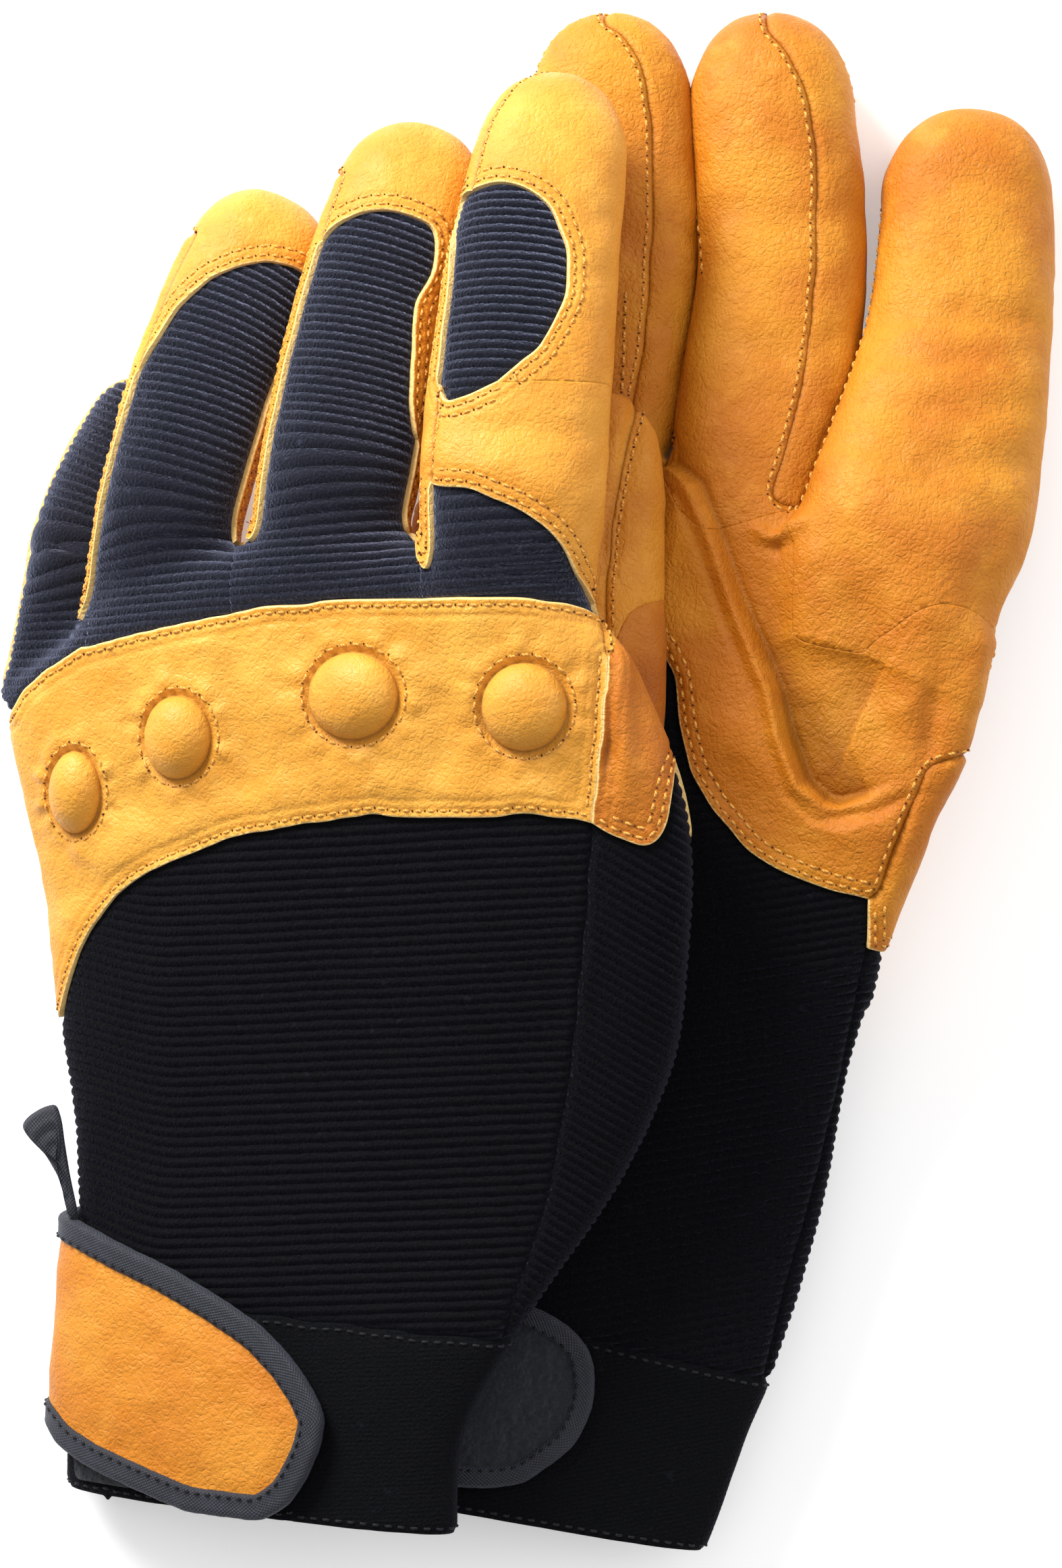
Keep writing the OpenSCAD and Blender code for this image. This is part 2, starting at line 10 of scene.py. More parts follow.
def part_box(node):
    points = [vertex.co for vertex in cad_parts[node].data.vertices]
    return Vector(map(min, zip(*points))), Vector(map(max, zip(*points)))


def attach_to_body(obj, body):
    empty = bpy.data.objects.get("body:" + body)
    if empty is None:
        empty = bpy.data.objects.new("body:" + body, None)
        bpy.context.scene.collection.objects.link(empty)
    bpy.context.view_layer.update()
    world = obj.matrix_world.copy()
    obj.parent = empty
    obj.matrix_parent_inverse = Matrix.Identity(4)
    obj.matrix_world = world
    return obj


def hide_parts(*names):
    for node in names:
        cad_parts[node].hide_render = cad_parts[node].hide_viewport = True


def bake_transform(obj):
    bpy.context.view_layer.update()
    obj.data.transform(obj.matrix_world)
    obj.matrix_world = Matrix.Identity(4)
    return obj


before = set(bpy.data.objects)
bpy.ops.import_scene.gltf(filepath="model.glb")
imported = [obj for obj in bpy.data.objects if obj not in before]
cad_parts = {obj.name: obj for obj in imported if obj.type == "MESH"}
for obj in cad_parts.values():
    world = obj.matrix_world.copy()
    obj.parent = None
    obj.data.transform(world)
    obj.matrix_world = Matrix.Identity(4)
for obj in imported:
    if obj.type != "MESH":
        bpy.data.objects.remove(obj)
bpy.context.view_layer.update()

# ---------------------------------------------------------------- design numbers, in mm
LEFT_HAND = [
  [-83, -126, 6.0, -13, -131, 31.5, 7.5, 0, 0], [-83, -110, 6.0, -12, -114, 32.0, 7.5, 0, 0],
  [-81, -88, 6.5, -2, -95, 33.0, 8.0, 0, 0], [-81, -63, 7.5, 13, -73, 33.5, 9.0, 0, 0],
  [-84, -40, 8.5, 24, -50, 37.0, 10.0, 0, 0], [-86, -20, 9.0, 27, -30, 42.0, 10.5, 0, 0],
  [-90, 0, 9.5, 27, -8, 46.5, 10.5, 1, 0], [-92, 12, 10.0, 22, 9, 49.0, 10.5, 6, 0],
  [-90, 20, 10.5, 13, 29, 50.0, 10.0, 16, 0]]
RIGHT_HAND = [
  [-37, -125, 11.0, 31, -137, 12.0, 7.0, 0, 0], [-24, -100, 11.0, 40, -113, 12.5, 7.0, 0, 0],
  [-21, -89, 10.0, 43, -105, 13.0, 7.5, 0, 0], [-20, -60, 8.5, 51, -78, 14.0, 8.0, 0, 0],
  [-20, -32, 8.0, 56.2, -51, 19.0, 8.5, 0, 1], [-25, -8, 7.5, 61.6, -30, 24.0, 8.5, 0, 2],
  [-27, 14, 7.5, 68.6, -10, 28.0, 8.5, 0, 3], [-23, 33, 7.5, 76.5, 8, 31.0, 8.5, 3, 4],
  [-18, 54, 7.5, 80.5, 30, 32.0, 8.5, 8, 4]]
LF = {
 "index": [[-3.3, 42, 46.5, 14.9, 10], [-2.4, 62, 45.5, 15.2, 10], [-0.4, 84, 41, 14.6, 10], [3, 106, 34.5, 13, 9.5], [6, 123, 29.5, 11.5, 8.5]],
 "middle": [[-34.5, 48, 33, 13.2, 10], [-31.2, 66, 31.5, 13.4, 10], [-27.2, 84, 28.5, 13, 9.5], [-22, 101, 25, 12.8, 9], [-16, 114.5, 21.5, 11.5, 8]],
 "ring": [[-65, 43, 22, 12, 9], [-61, 58, 23.8, 12.5, 9], [-56.2, 74, 21.5, 12.5, 9], [-50, 89, 18, 12.4, 9], [-43, 103, 14, 11.2, 8]],
 "pinky": [[-81.3, 35.2, 10, 9.2, 7.2], [-79.5, 41, 9, 10.3, 7.5], [-75.8, 51, 8.2, 10.4, 7.4], [-71, 61, 7.8, 10, 7.2], [-66, 71.5, 7.5, 8.5, 6.8]],
 "thumb": [[11.5, 7, 28.0, 10.8, 5.6], [11.5, 20, 28.0, 11.2, 6.2], [11.5, 38, 27.4, 11.2, 6.6], [11.5, 54, 26.8, 11, 6.6], [11.5, 68, 26.5, 9.5, 6.2]]}
RF = {
 "index": [[66.8, 43, 26.3, 19.2, 9.5], [71.8, 60, 21.5, 18.2, 10], [76, 80, 15.5, 15.8, 10], [78, 101, 11, 14.8, 10], [77, 120, 9.6, 13.5, 9.2]],
 "middle": [[37.8, 51, 17, 13.0, 9], [41.8, 70, 14, 14.9, 9.5], [44.6, 92, 11, 14.6, 10], [43.5, 116, 10, 14.4, 10], [41.5, 137.2, 9.5, 13.5, 9.2]],
 "ring": [[12.7, 56, 10.2, 10.8, 8.6], [14, 72, 9.8, 13, 8.8], [15.6, 94, 9.5, 13.9, 9], [14.8, 116, 9.4, 14, 9], [13.2, 137.2, 9.2, 13, 8.8]],
 "pinky": [[-9, 57.5, 8.6, 10, 8.2], [-9.5, 70, 8.4, 10.5, 8.2], [-10, 84, 8.2, 10.5, 8], [-10, 96, 8.1, 10, 7.8], [-9.5, 107, 8, 8.5, 7.2]],
 "thumb": [[55.5, -11, 5.2, 11.5, 5.2], [57.5, 2, 5.2, 12.5, 5.2], [59, 15, 5.4, 12.5, 5.2], [57, 27, 5.4, 12, 5.2], [55, 38, 5.2, 10, 5.0]]}
THUMB_ROOT = {"left": [8, -14, 37, 9, 5], "right": [50, -34, 19, 8.5, 6]}
HAND_E, FING_E = 2.6, 2.3
VOX = 0.85


def P2(s):
    """Drawn outline points in drawing units, to mm in the frame."""
    a = np.array(s, float).reshape(-1, 2)
    return np.stack([(a[:, 0] - 787) * 0.1186, (1162 - a[:, 1]) * 0.1186], 1)


# ---------------------------------------------------------------- fields
def cr_table(S, n):
    S = np.array(S, float)
    m = len(S) - 1
    t = np.linspace(0, m, n)
    i = np.clip(np.floor(t).astype(int), 0, m - 1)
    f = (t - i)[:, None]
    a, b, c, d = S[np.maximum(i - 1, 0)], S[i], S[i + 1], S[np.minimum(i + 2, m)]
    return t, 0.5 * (2 * b + (c - a) * f + (2 * a - 5 * b + 4 * c - d) * f * f + (3 * b - a - 3 * c + d) * f ** 3)


def unit(a):
    return a / np.maximum(np.linalg.norm(a, axis=-1, keepdims=True), 1e-9)


class Hand:
    def __init__(self, S):
        self.t, T = cr_table(S, 161)
        L, R = T[:, :3], T[:, 3:6]
        self.C, W = (L + R) / 2, (R - L) / 2
        self.hw = np.linalg.norm(W, axis=1)
        self.W = unit(W)
        A = unit(np.gradient(self.C, axis=0))
        self.U = unit(np.cross(self.W, A))
        self.hh, self.bu, self.sag = T[:, 6], T[:, 7], T[:, 8]
        self.a = unit(self.C[-1] - self.C[0])
        self.q = self.C @ self.a
        self.Wa = self.W @ self.a

    def coords(self, P):
        q = P @ self.a
        qq = q.copy()
        for _ in range(3):
            it = np.interp(qq, self.q, np.arange(len(self.q)))
            i = np.clip(it.astype(int), 0, len(self.q) - 2)
            f = (it - i)[:, None]
            C = self.C[i] * (1 - f) + self.C[i + 1] * f
            W = self.W[i] * (1 - f) + self.W[i + 1] * f
            f0 = f[:, 0]
            hw = self.hw[i] * (1 - f0) + self.hw[i + 1] * f0
            bu = self.bu[i] * (1 - f0) + self.bu[i + 1] * f0
            wa = self.Wa[i] * (1 - f0) + self.Wa[i + 1] * f0
            u = ((P - C) * W).sum(1)
            u = u - ((P - C) @ self.a - u * wa) * 0
            s = np.clip(u / hw, -1, 1)
            qq = q - u * wa - bu * (1 - s * s)
        U = self.U[i] * (1 - f) + self.U[i + 1] * f
        hh = self.hh[i] * (1 - f0) + self.hh[i + 1] * f0
        sag = self.sag[i] * (1 - f0) + self.sag[i + 1] * f0
        v = ((P - C) * U).sum(1) + sag * (1 - s * s)
        t = np.interp(qq, self.q, self.t)
        return t, u, v, hw, hh, qq

    def field(self, P):
        t, u, v, hw, hh, qq = self.coords(P)
        e = HAND_E
        a, b = np.abs(u / hw), np.abs(v / hh)
        s = np.maximum(0, qq - (self.q[-1] - 7)) / 9.0
        k = (a ** e + b ** e + s ** e + 1e-12) ** (1 / e)
        g = np.sqrt((a ** (e - 1) / hw) ** 2 + (b ** (e - 1) / hh) ** 2 + (s ** (e - 1) / 9.0) ** 2 + 1e-12) / np.maximum(k ** (e - 1), 1e-6)
        d = (k - 1) / g
        return np.maximum(d, self.q[0] - qq)


class Finger:
    def __init__(self, S, ext=22.0, root=None):
        S = np.array(S, float)
        if root is None:
            d = unit(S[0, :3] - S[1, :3])
            root = np.r_[S[0, :3] + d * ext - [0, 0, 4.0], S[0, 3] * 0.75, S[0, 4] * 0.4]
        else:
            root = np.array(root, float)
        ext = np.linalg.norm(root[:3] - S[0, :3])
        S = np.vstack([root, S])
        self.ext = ext
        t, T = cr_table(S, 121)
        self.C, self.hw, self.hh = T[:, :3], T[:, 3], T[:, 4]
        A = unit(np.gradient(self.C, axis=0))
        self.A = A
        self.W = unit(np.cross(A, np.array([0, 0, 1.0])))
        self.U = np.cross(self.W, A)
        self.a = unit(self.C[-1] - self.C[0])
        self.q = self.C @ self.a
        self.Wa = self.W @ self.a
        self.Ua = self.U @ self.a
        self.s = np.r_[0, np.cumsum(np.linalg.norm(np.diff(self.C, axis=0), axis=1))] - ext
        self.L = self.s[-1]
        self.tip = 0.2 * self.L

    def coords(self, P):
        q = P @ self.a
        qq = q.copy()
        for _ in range(3):
            it = np.interp(qq, self.q, np.arange(len(self.q)))
            i = np.clip(it.astype(int), 0, len(self.q) - 2)
            f = (it - i)[:, None]
            f0 = f[:, 0]
            C = self.C[i] * (1 - f) + self.C[i + 1] * f
            W = self.W[i] * (1 - f) + self.W[i + 1] * f
            U = self.U[i] * (1 - f) + self.U[i + 1] * f
            u = ((P - C) * W).sum(1)
            v = ((P - C) * U).sum(1)
            qq = q - u * (W @ self.a) - v * (U @ self.a)
        hw = self.hw[i] * (1 - f0) + self.hw[i + 1] * f0
        hh = self.hh[i] * (1 - f0) + self.hh[i + 1] * f0
        s = self.s[i] * (1 - f0) + self.s[i + 1] * f0
        over = np.maximum(0, qq - self.q[-1]) - np.maximum(0, self.q[0] - qq)
        return s + over, u, v, hw, hh

    def field(self, P):
        s, u, v, hw, hh = self.coords(P)
        e = FING_E
        a, b = np.abs(u / hw), np.abs(v / hh)
        c = np.maximum(0, s - (self.L - self.tip)) / self.tip
        k = (a ** e + b ** e + c ** e + 1e-12) ** (1 / e)
        g = np.sqrt((a ** (e - 1) / hw) ** 2 + (b ** (e - 1) / hh) ** 2 + (c ** (e - 1) / self.tip) ** 2 + 1e-12) / np.maximum(k ** (e - 1), 1e-6)
        return np.maximum((k - 1) / g, -(s + self.ext))


def smin(a, b, k):
    h = np.clip(0.5 + 0.5 * (b - a) / k, 0, 1)
    return b * (1 - h) + a * h - k * h * (1 - h)


NAMES = ["index", "middle", "ring", "pinky", "thumb"]


class Glove:
    def __init__(self, hand, fingers, thumb_root, blend=6.0):
        self.hand = Hand(hand)
        self.f = {n: Finger(fingers[n], root=thumb_root if n == "thumb" else None) for n in NAMES}
        self.k = blend

    def F_hand(self, P):
        m = None
        for n in NAMES:
            d = self.f[n].field(P)
            if n == "thumb":
                d = d + 20 * smoothstep(2, 14, self.f[n].coords(P)[0])
            m = d if m is None else np.minimum(m, d)
        return np.maximum(smin(self.hand.field(P), m, self.k), -P[:, 2])

    def F_finger(self, n):
        def F(P):
            d = self.f[n].field(P)
            h = self.hand.field(P)
            if n == "thumb":
                h = h + 20 * smoothstep(2, 14, self.f[n].coords(P)[0])
            return np.maximum(smin(h, d, self.k), -P[:, 2])
        return F


# ---------------------------------------------------------------- surface nets
def grid_dist(F, org, n, h):
    out = np.empty(n, np.float32)
    ys, zs = np.arange(n[1]) * h + org[1], np.arange(n[2]) * h + org[2]
    Y, Z = np.meshgrid(ys, zs, indexing="ij")
    for i0 in range(0, n[0], 16):
        i1 = min(i0 + 16, n[0])
        xs = np.arange(i0, i1) * h + org[0]
        P = np.empty((i1 - i0, n[1], n[2], 3), np.float32)
        P[..., 0] = xs[:, None, None]
        P[..., 1] = Y[None]
        P[..., 2] = Z[None]
        out[i0:i1] = F(P.reshape(-1, 3)).reshape(i1 - i0, n[1], n[2])
    return out


def nets(F, lo, hi, h, base):
    """Surface nets. Cells are keyed on one shared lattice so that meshes of one glove weld."""
    i0 = np.floor((np.array(lo) - base) / h).astype(int) - 1
    i1 = np.ceil((np.array(hi) - base) / h).astype(int) + 2
    n = tuple(i1 - i0)
    org = base + i0 * h
    D = grid_dist(F, org, n, h)
    ins = D < 0
    c = np.zeros(tuple(np.array(n) - 1), np.int8)
    for dx in (0, 1):
        for dy in (0, 1):
            for dz in (0, 1):
                c += ins[dx:n[0] - 1 + dx, dy:n[1] - 1 + dy, dz:n[2] - 1 + dz]
    act = np.argwhere((c > 0) & (c < 8))
    idx = -np.ones(c.shape, np.int64)
    idx[act[:, 0], act[:, 1], act[:, 2]] = np.arange(len(act))
    acc = np.zeros((len(act), 3))
    cnt = np.zeros(len(act))
    cor = [(x, y, z) for x in (0, 1) for y in (0, 1) for z in (0, 1)]
    val = {k: D[act[:, 0] + k[0], act[:, 1] + k[1], act[:, 2] + k[2]] for k in cor}
    for a in cor:
        for ax in range(3):
            if a[ax]:
                continue
            b = tuple(1 if j == ax else a[j] for j in range(3))
            m = (val[a] < 0) != (val[b] < 0)
            f = np.where(m, val[a] / np.where(m, val[a] - val[b], 1), 0)
            p = np.tile(np.array(a, float), (len(act), 1))
            p[:, ax] += f
            acc[m] += p[m]
            cnt[m] += 1
    V = (act + acc / cnt[:, None]) * h + org
    quads = []
    for ax in range(3):
        o = [j for j in range(3) if j != ax]
        A = ins[tuple(slice(0, n[j] - 1) if j == ax else slice(1, n[j] - 1) for j in range(3))]
        B = ins[tuple(slice(1, n[j]) if j == ax else slice(1, n[j] - 1) for j in range(3))]
        e = np.argwhere(A != B)
        flip = A[e[:, 0], e[:, 1], e[:, 2]]
        e = e.copy()
        for j in o:
            e[:, j] += 1
        q = []
        for s1, s2 in ((0, 0), (1, 0), (1, 1), (0, 1)):
            k = e.copy()
            k[:, o[0]] -= s1
            k[:, o[1]] -= s2
            q.append(idx[k[:, 0], k[:, 1], k[:, 2]])
        q = np.stack(q, 1)
        sw = flip if ax != 1 else ~flip
        q[~sw] = q[~sw][:, ::-1]
        quads.append(q)
    Q = np.vstack(quads)
    Q = Q[(Q >= 0).all(1)]
    key = (act + i0 + 2000) @ np.array([1, 5000, 25000000])
    return V, Q, key


def grad(F, P, e=0.15):
    g = np.stack([F(P + np.eye(3)[j] * e) - F(P - np.eye(3)[j] * e) for j in range(3)], 1)
    return g / (2 * e)


def project(F, V, steps=2):
    for _ in range(steps):
        d = F(V)
        g = grad(F, V)
        V = V - np.clip(d / np.maximum((g * g).sum(1), 0.2), -1, 1)[:, None] * g
    return V


def qedges(Q):
    E = np.vstack([Q[:, [0, 1]], Q[:, [1, 2]], Q[:, [2, 3]], Q[:, [3, 0]]])
    return E


def relax(F, V, Q, n=3):
    E = qedges(Q)
    for _ in range(n):
        acc = np.zeros_like(V)
        cnt = np.zeros(len(V))
        np.add.at(acc, E[:, 0], V[E[:, 1]])
        np.add.at(acc, E[:, 1], V[E[:, 0]])
        np.add.at(cnt, E[:, 0], 1)
        np.add.at(cnt, E[:, 1], 1)
        m = acc / np.maximum(cnt, 1)[:, None]
        V = V + 0.6 * (m - V)
        V = project(F, V, 1)
    return V


def normals(V, Q):
    n = np.cross(V[Q[:, 2]] - V[Q[:, 0]], V[Q[:, 3]] - V[Q[:, 1]])
    N = np.zeros_like(V)
    for j in range(4):
        np.add.at(N, Q[:, j], n)
    return unit(N)


def compact(V, Q, *extra):
    used = np.unique(Q)
    m = -np.ones(len(V), np.int64)
    m[used] = np.arange(len(used))
    return (V[used], m[Q]) + tuple(x[used] for x in extra)


# ---------------------------------------------------------------- one welded skin per glove
BASE = np.array([-120.0, -160.0, -4.0])


def core(G):
    Vs, Qs, Ks, Os = [], [], [], []
    jobs = [("hand", G.F_hand)] + [(n, G.F_finger(n)) for n in NAMES]
    for name, F in jobs:
        if name == "hand":
            C = np.vstack([G.hand.C - G.hand.W * G.hand.hw[:, None], G.hand.C + G.hand.W * G.hand.hw[:, None]])
            lo, hi = C.min(0) - [6, 4, 14], C.max(0) + [6, 22, 16]
        else:
            f = G.f[name]
            lo, hi = f.C.min(0) - [20, 4, 14], f.C.max(0) + [20, 6, 14]
        lo[2] = max(lo[2], -1.5)
        V, Q, K = nets(F, lo, hi, VOX, BASE)
        V = relax(F, V, Q, 3)
        c = V[Q].mean(1)
        dh = G.hand.field(c)
        df = {n: G.f[n].field(c) for n in NAMES}
        D = np.stack([df[n] for n in NAMES], 1)
        am = D.argmin(1)
        if name == "hand":
            keep = dh <= D.min(1)
            # a finger lying far out over the hand's own skin doesn't cut it
        else:
            i = NAMES.index(name)
            s = G.f[name].coords(c)[0]
            keep = (D[:, i] < dh) & ((am == i) | (s > 13))
        # open the cuff mouth
        qq = G.hand.coords(c)[5]
        nz = np.cross(V[Q[:, 2]] - V[Q[:, 0]], V[Q[:, 3]] - V[Q[:, 1]])
        nz = unit(nz)
        mouth = (qq < G.hand.q[0] + 0.9 * VOX) & ((nz @ G.hand.a) < -0.5)
        keep &= ~mouth
        Q = Q[keep]
        V, Q, K = compact(V, Q, K)
        Vs.append(V); Qs.append(Q); Ks.append(K)
        Os.append(np.full(len(Q), (["hand"] + NAMES).index(name)))
    off = np.cumsum([0] + [len(v) for v in Vs])
    V = np.vstack(Vs)
    K = np.concatenate(Ks)
    Q = np.vstack([q + o for q, o in zip(Qs, off)])
    own = np.concatenate(Os)
    o = np.argsort(K, kind="stable")
    rep = np.arange(len(V))
    same = (K[o][1:] == K[o][:-1]) & (np.linalg.norm(V[o][1:] - V[o][:-1], axis=1) < 0.7)
    for i in np.nonzero(same)[0]:
        rep[o[i + 1]] = rep[o[i]]
    Q = rep[Q]
    ok = (Q[:, 0] != Q[:, 2]) & (Q[:, 1] != Q[:, 3]) & (Q[:, 0] != Q[:, 1]) & (Q[:, 2] != Q[:, 3]) & (Q[:, 1] != Q[:, 2]) & (Q[:, 0] != Q[:, 3])
    Q, own = Q[ok], own[ok]
    V, Q = compact(V, Q)
    E, a, b = edge_pairs(Q)
    rim = np.unique(E[b < 0])
    rim = rim[G.hand.coords(V[rim])[5] < G.hand.q[0] + 4]
    for _ in range(4):
        qq = G.hand.coords(V[rim])[5]
        V[rim] += (G.hand.q[0] + 0.3 - qq)[:, None] * G.hand.a
    return V, Q, own


def inside(poly, p):
    """Point in polygon, for many points."""
    x, y = p[:, 0], p[:, 1]
    r = np.zeros(len(p), bool)
    a = poly
    b = np.roll(poly, -1, 0)
    for (x0, y0), (x1, y1) in zip(a, b):
        c = ((y0 > y) != (y1 > y)) & (x < (x1 - x0) * (y - y0) / (y1 - y0 + 1e-12) + x0)
        r ^= c
    return r


def line_dist(pl, p):
    """Distance from points to a polyline, the arc length there, and the side (left positive)."""
    best = np.full(len(p), 1e9)
    arc = np.zeros(len(p))
    side = np.zeros(len(p))
    s = 0.0
    for a, b in zip(pl[:-1], pl[1:]):
        d = b - a
        L = np.linalg.norm(d)
        t = np.clip(((p - a) @ d) / (L * L), 0, 1)
        q = a + t[:, None] * d
        r = np.linalg.norm(p - q, axis=1)
        m = r < best
        best[m] = r[m]
        arc[m] = s + t[m] * L
        side[m] = np.sign(d[0] * (p[m, 1] - a[1]) - d[1] * (p[m, 0] - a[0]))
        s += L
    return best, arc, side, s


def edge_pairs(Q):
    """Each edge with the quads on its two sides (-1 where open)."""
    E = qedges(Q)
    f = np.tile(np.arange(len(Q)), 4)
    lo, hi = E.min(1), E.max(1)
    k = lo * (Q.max() + 1) + hi
    o = np.argsort(k, kind="stable")
    ks = k[o]
    first = np.r_[True, ks[1:] != ks[:-1]]
    st = np.nonzero(first)[0]
    cnt = np.diff(np.r_[st, len(ks)])
    a = f[o[st]]
    b = np.where(cnt > 1, f[o[np.minimum(st + 1, len(o) - 1)]], -1)
    return np.stack([lo[o[st]], hi[o[st]]], 1), a, b


def clean_labels(Q, lab, n=2):
    E, a, b = edge_pairs(Q)
    m = b >= 0
    a, b = a[m], b[m]
    L = lab.max() + 1
    for _ in range(n):
        votes = np.zeros((len(Q), L), np.int16)
        np.add.at(votes, (a, lab[b]), 1)
        np.add.at(votes, (b, lab[a]), 1)
        top = votes.argmax(1)
        ch = votes[np.arange(len(Q)), top] >= 3
        lab = np.where(ch, top, lab)
    return lab


def smooth_borders(V, Q, lab, n=10):
    E, a, b = edge_pairs(Q)
    m = (b < 0) | (lab[a] != lab[np.maximum(b, 0)])
    BE = E[m]
    deg = np.zeros(len(V), int)
    np.add.at(deg, BE.ravel(), 1)
    V = V.copy()
    ring = np.zeros(len(V), bool)
    ring[BE.ravel()] = True
    allE = E
    for k in range(n):
        acc = np.zeros_like(V)
        np.add.at(acc, BE[:, 0], V[BE[:, 1]])
        np.add.at(acc, BE[:, 1], V[BE[:, 0]])
        s = deg == 2
        w = 0.5 if k % 2 == 0 else 0.42
        V[s] = V[s] * (1 - w) + w * acc[s] / 2
        acc = np.zeros_like(V)
        cnt = np.zeros(len(V))
        np.add.at(acc, allE[:, 0], V[allE[:, 1]]); np.add.at(acc, allE[:, 1], V[allE[:, 0]])
        np.add.at(cnt, allE.ravel(), 1)
        near = np.zeros(len(V), bool)
        near[allE[ring[allE[:, 0]], 1]] = True
        near[allE[ring[allE[:, 1]], 0]] = True
        near &= ~ring
        V[near] = 0.6 * V[near] + 0.4 * (acc[near] / cnt[near, None])
    return V


# ---------------------------------------------------------------- smooth noise in space
_rng = np.random.RandomState(7)
_LAT = _rng.rand(32, 32, 32).astype(np.float32) * 2 - 1


def noise(P, scale, seed=0):
    p = P / scale + np.array([seed * 7.31, seed * 3.17, seed * 5.73])
    i = np.floor(p).astype(int)
    f = p - i
    f = f * f * (3 - 2 * f)
    out = 0
    for dx in (0, 1):
        for dy in (0, 1):
            for dz in (0, 1):
                w = (f[:, 0] if dx else 1 - f[:, 0]) * (f[:, 1] if dy else 1 - f[:, 1]) * (f[:, 2] if dz else 1 - f[:, 2])
                out = out + w * _LAT[(i[:, 0] + dx) % 32, (i[:, 1] + dy) % 32, (i[:, 2] + dz) % 32]
    return out


def smoothstep(a, b, x):
    t = np.clip((x - a) / (b - a), 0, 1)
    return t * t * (3 - 2 * t)


def bell(x, w):
    return np.exp(-(x / w) ** 2)


# ---------------------------------------------------------------- panels
def subdivide(V, N, Q):
    E, a, b = edge_pairs(Q)
    nv = len(V)
    M = (V[E[:, 0]] + V[E[:, 1]]) / 2
    MN = unit(N[E[:, 0]] + N[E[:, 1]])
    C = V[Q].mean(1)
    CN = unit(N[Q].sum(1))
    key = E[:, 0] * nv + E[:, 1]
    o = np.argsort(key)
    def eid(p, q):
        k = np.minimum(p, q) * nv + np.maximum(p, q)
        return nv + o[np.searchsorted(key[o], k)]
    e = [eid(Q[:, i], Q[:, (i + 1) % 4]) for i in range(4)]
    c = nv + len(E) + np.arange(len(Q))
    nQ = np.vstack([np.stack([Q[:, i], e[i], c, e[(i + 3) % 4]], 1) for i in range(4)])
    return np.vstack([V, M, C]), np.vstack([N, MN, CN]), nQ


def border_loops(Q):
    E, a, b = edge_pairs(Q)
    D = qedges(Q)
    sp = set(map(tuple, E[b < 0].tolist()))
    nxt = {}
    for p, q in D.tolist():
        if (min(p, q), max(p, q)) in sp:
            nxt.setdefault(p, []).append(q)
    loops = []
    while nxt:
        s = next(iter(nxt))
        L = [s]
        while True:
            c = nxt.get(L[-1])
            if not c:
                break
            q = c.pop()
            if not c:
                del nxt[L[-1]]
            if q == s:
                break
            L.append(q)
        if len(L) > 6:
            loops.append(np.array(L))
    return loops


def kd_dist(pts, P):
    kd = KDTree(len(pts))
    for i, p in enumerate(pts):
        kd.insert(p, i)
    kd.balance()
    return np.array([kd.find(p)[2] for p in P])


def edge_distance(V, Q, cap=8.0):
    """Distance of each vertex from the panel's border, by steps over the mesh."""
    E, a, b = edge_pairs(Q)
    d = np.full(len(V), cap)
    d[E[b < 0].ravel()] = 0
    L = np.linalg.norm(V[E[:, 0]] - V[E[:, 1]], axis=1)
    # diagonals too, so that the distance is round
    X = np.vstack([Q[:, [0, 2]], Q[:, [1, 3]]])
    LX = np.linalg.norm(V[X[:, 0]] - V[X[:, 1]], axis=1)
    EE, LL = np.vstack([E, X]), np.r_[L, LX]
    for _ in range(int(cap / L.mean()) + 2):
        nd = d.copy()
        np.minimum.at(nd, EE[:, 0], d[EE[:, 1]] + LL)
        np.minimum.at(nd, EE[:, 1], d[EE[:, 0]] + LL)
        if np.abs(nd - d).max() < 1e-6:
            break
        d = nd
    return d


def closed(Vo, Q, N, t):
    """Outer skin, inner skin and rim, as one closed piece."""
    Vi = Vo - N * (t[:, None] if np.ndim(t) else t)
    Vi[:, 2] = np.maximum(Vi[:, 2], np.minimum(Vo[:, 2], 0.35))
    n = len(Vo)
    E, a, b = edge_pairs(Q)
    D = qedges(Q)
    sp = set(map(tuple, E[b < 0].tolist()))
    R = np.array([(p, q) for p, q in D.tolist() if (min(p, q), max(p, q)) in sp]).reshape(-1, 2)
    rim = np.stack([R[:, 1], R[:, 0], R[:, 0] + n, R[:, 1] + n], 1) if len(R) else np.zeros((0, 4), int)
    return np.vstack([Vo, Vi]), np.vstack([Q, Q[:, ::-1] + n, rim])


def make(name, V, Q, mat, body, attrs=None, tris=False):
    me = bpy.data.meshes.new(name)
    V = np.asarray(V, float) / 1000
    k = Q.shape[1]
    me.vertices.add(len(V)); me.vertices.foreach_set("co", V.astype(np.float32).ravel())
    me.loops.add(Q.size); me.loops.foreach_set("vertex_index", Q.astype(np.int32).ravel())
    me.polygons.add(len(Q)); me.polygons.foreach_set("loop_start", (np.arange(len(Q)) * k).astype(np.int32))
    me.polygons.foreach_set("use_smooth", np.ones(len(Q), bool))
    me.update(calc_edges=True)
    me.validate()
    for an, av in (attrs or {}).items():
        a = me.attributes.new(an, "FLOAT", "POINT")
        a.data.foreach_set("value", np.asarray(av, np.float32))
    o = bpy.data.objects.new(name, me)
    bpy.context.scene.collection.objects.link(o)
    me.materials.append(mat)
    if body:
        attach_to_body(o, body)
    return o


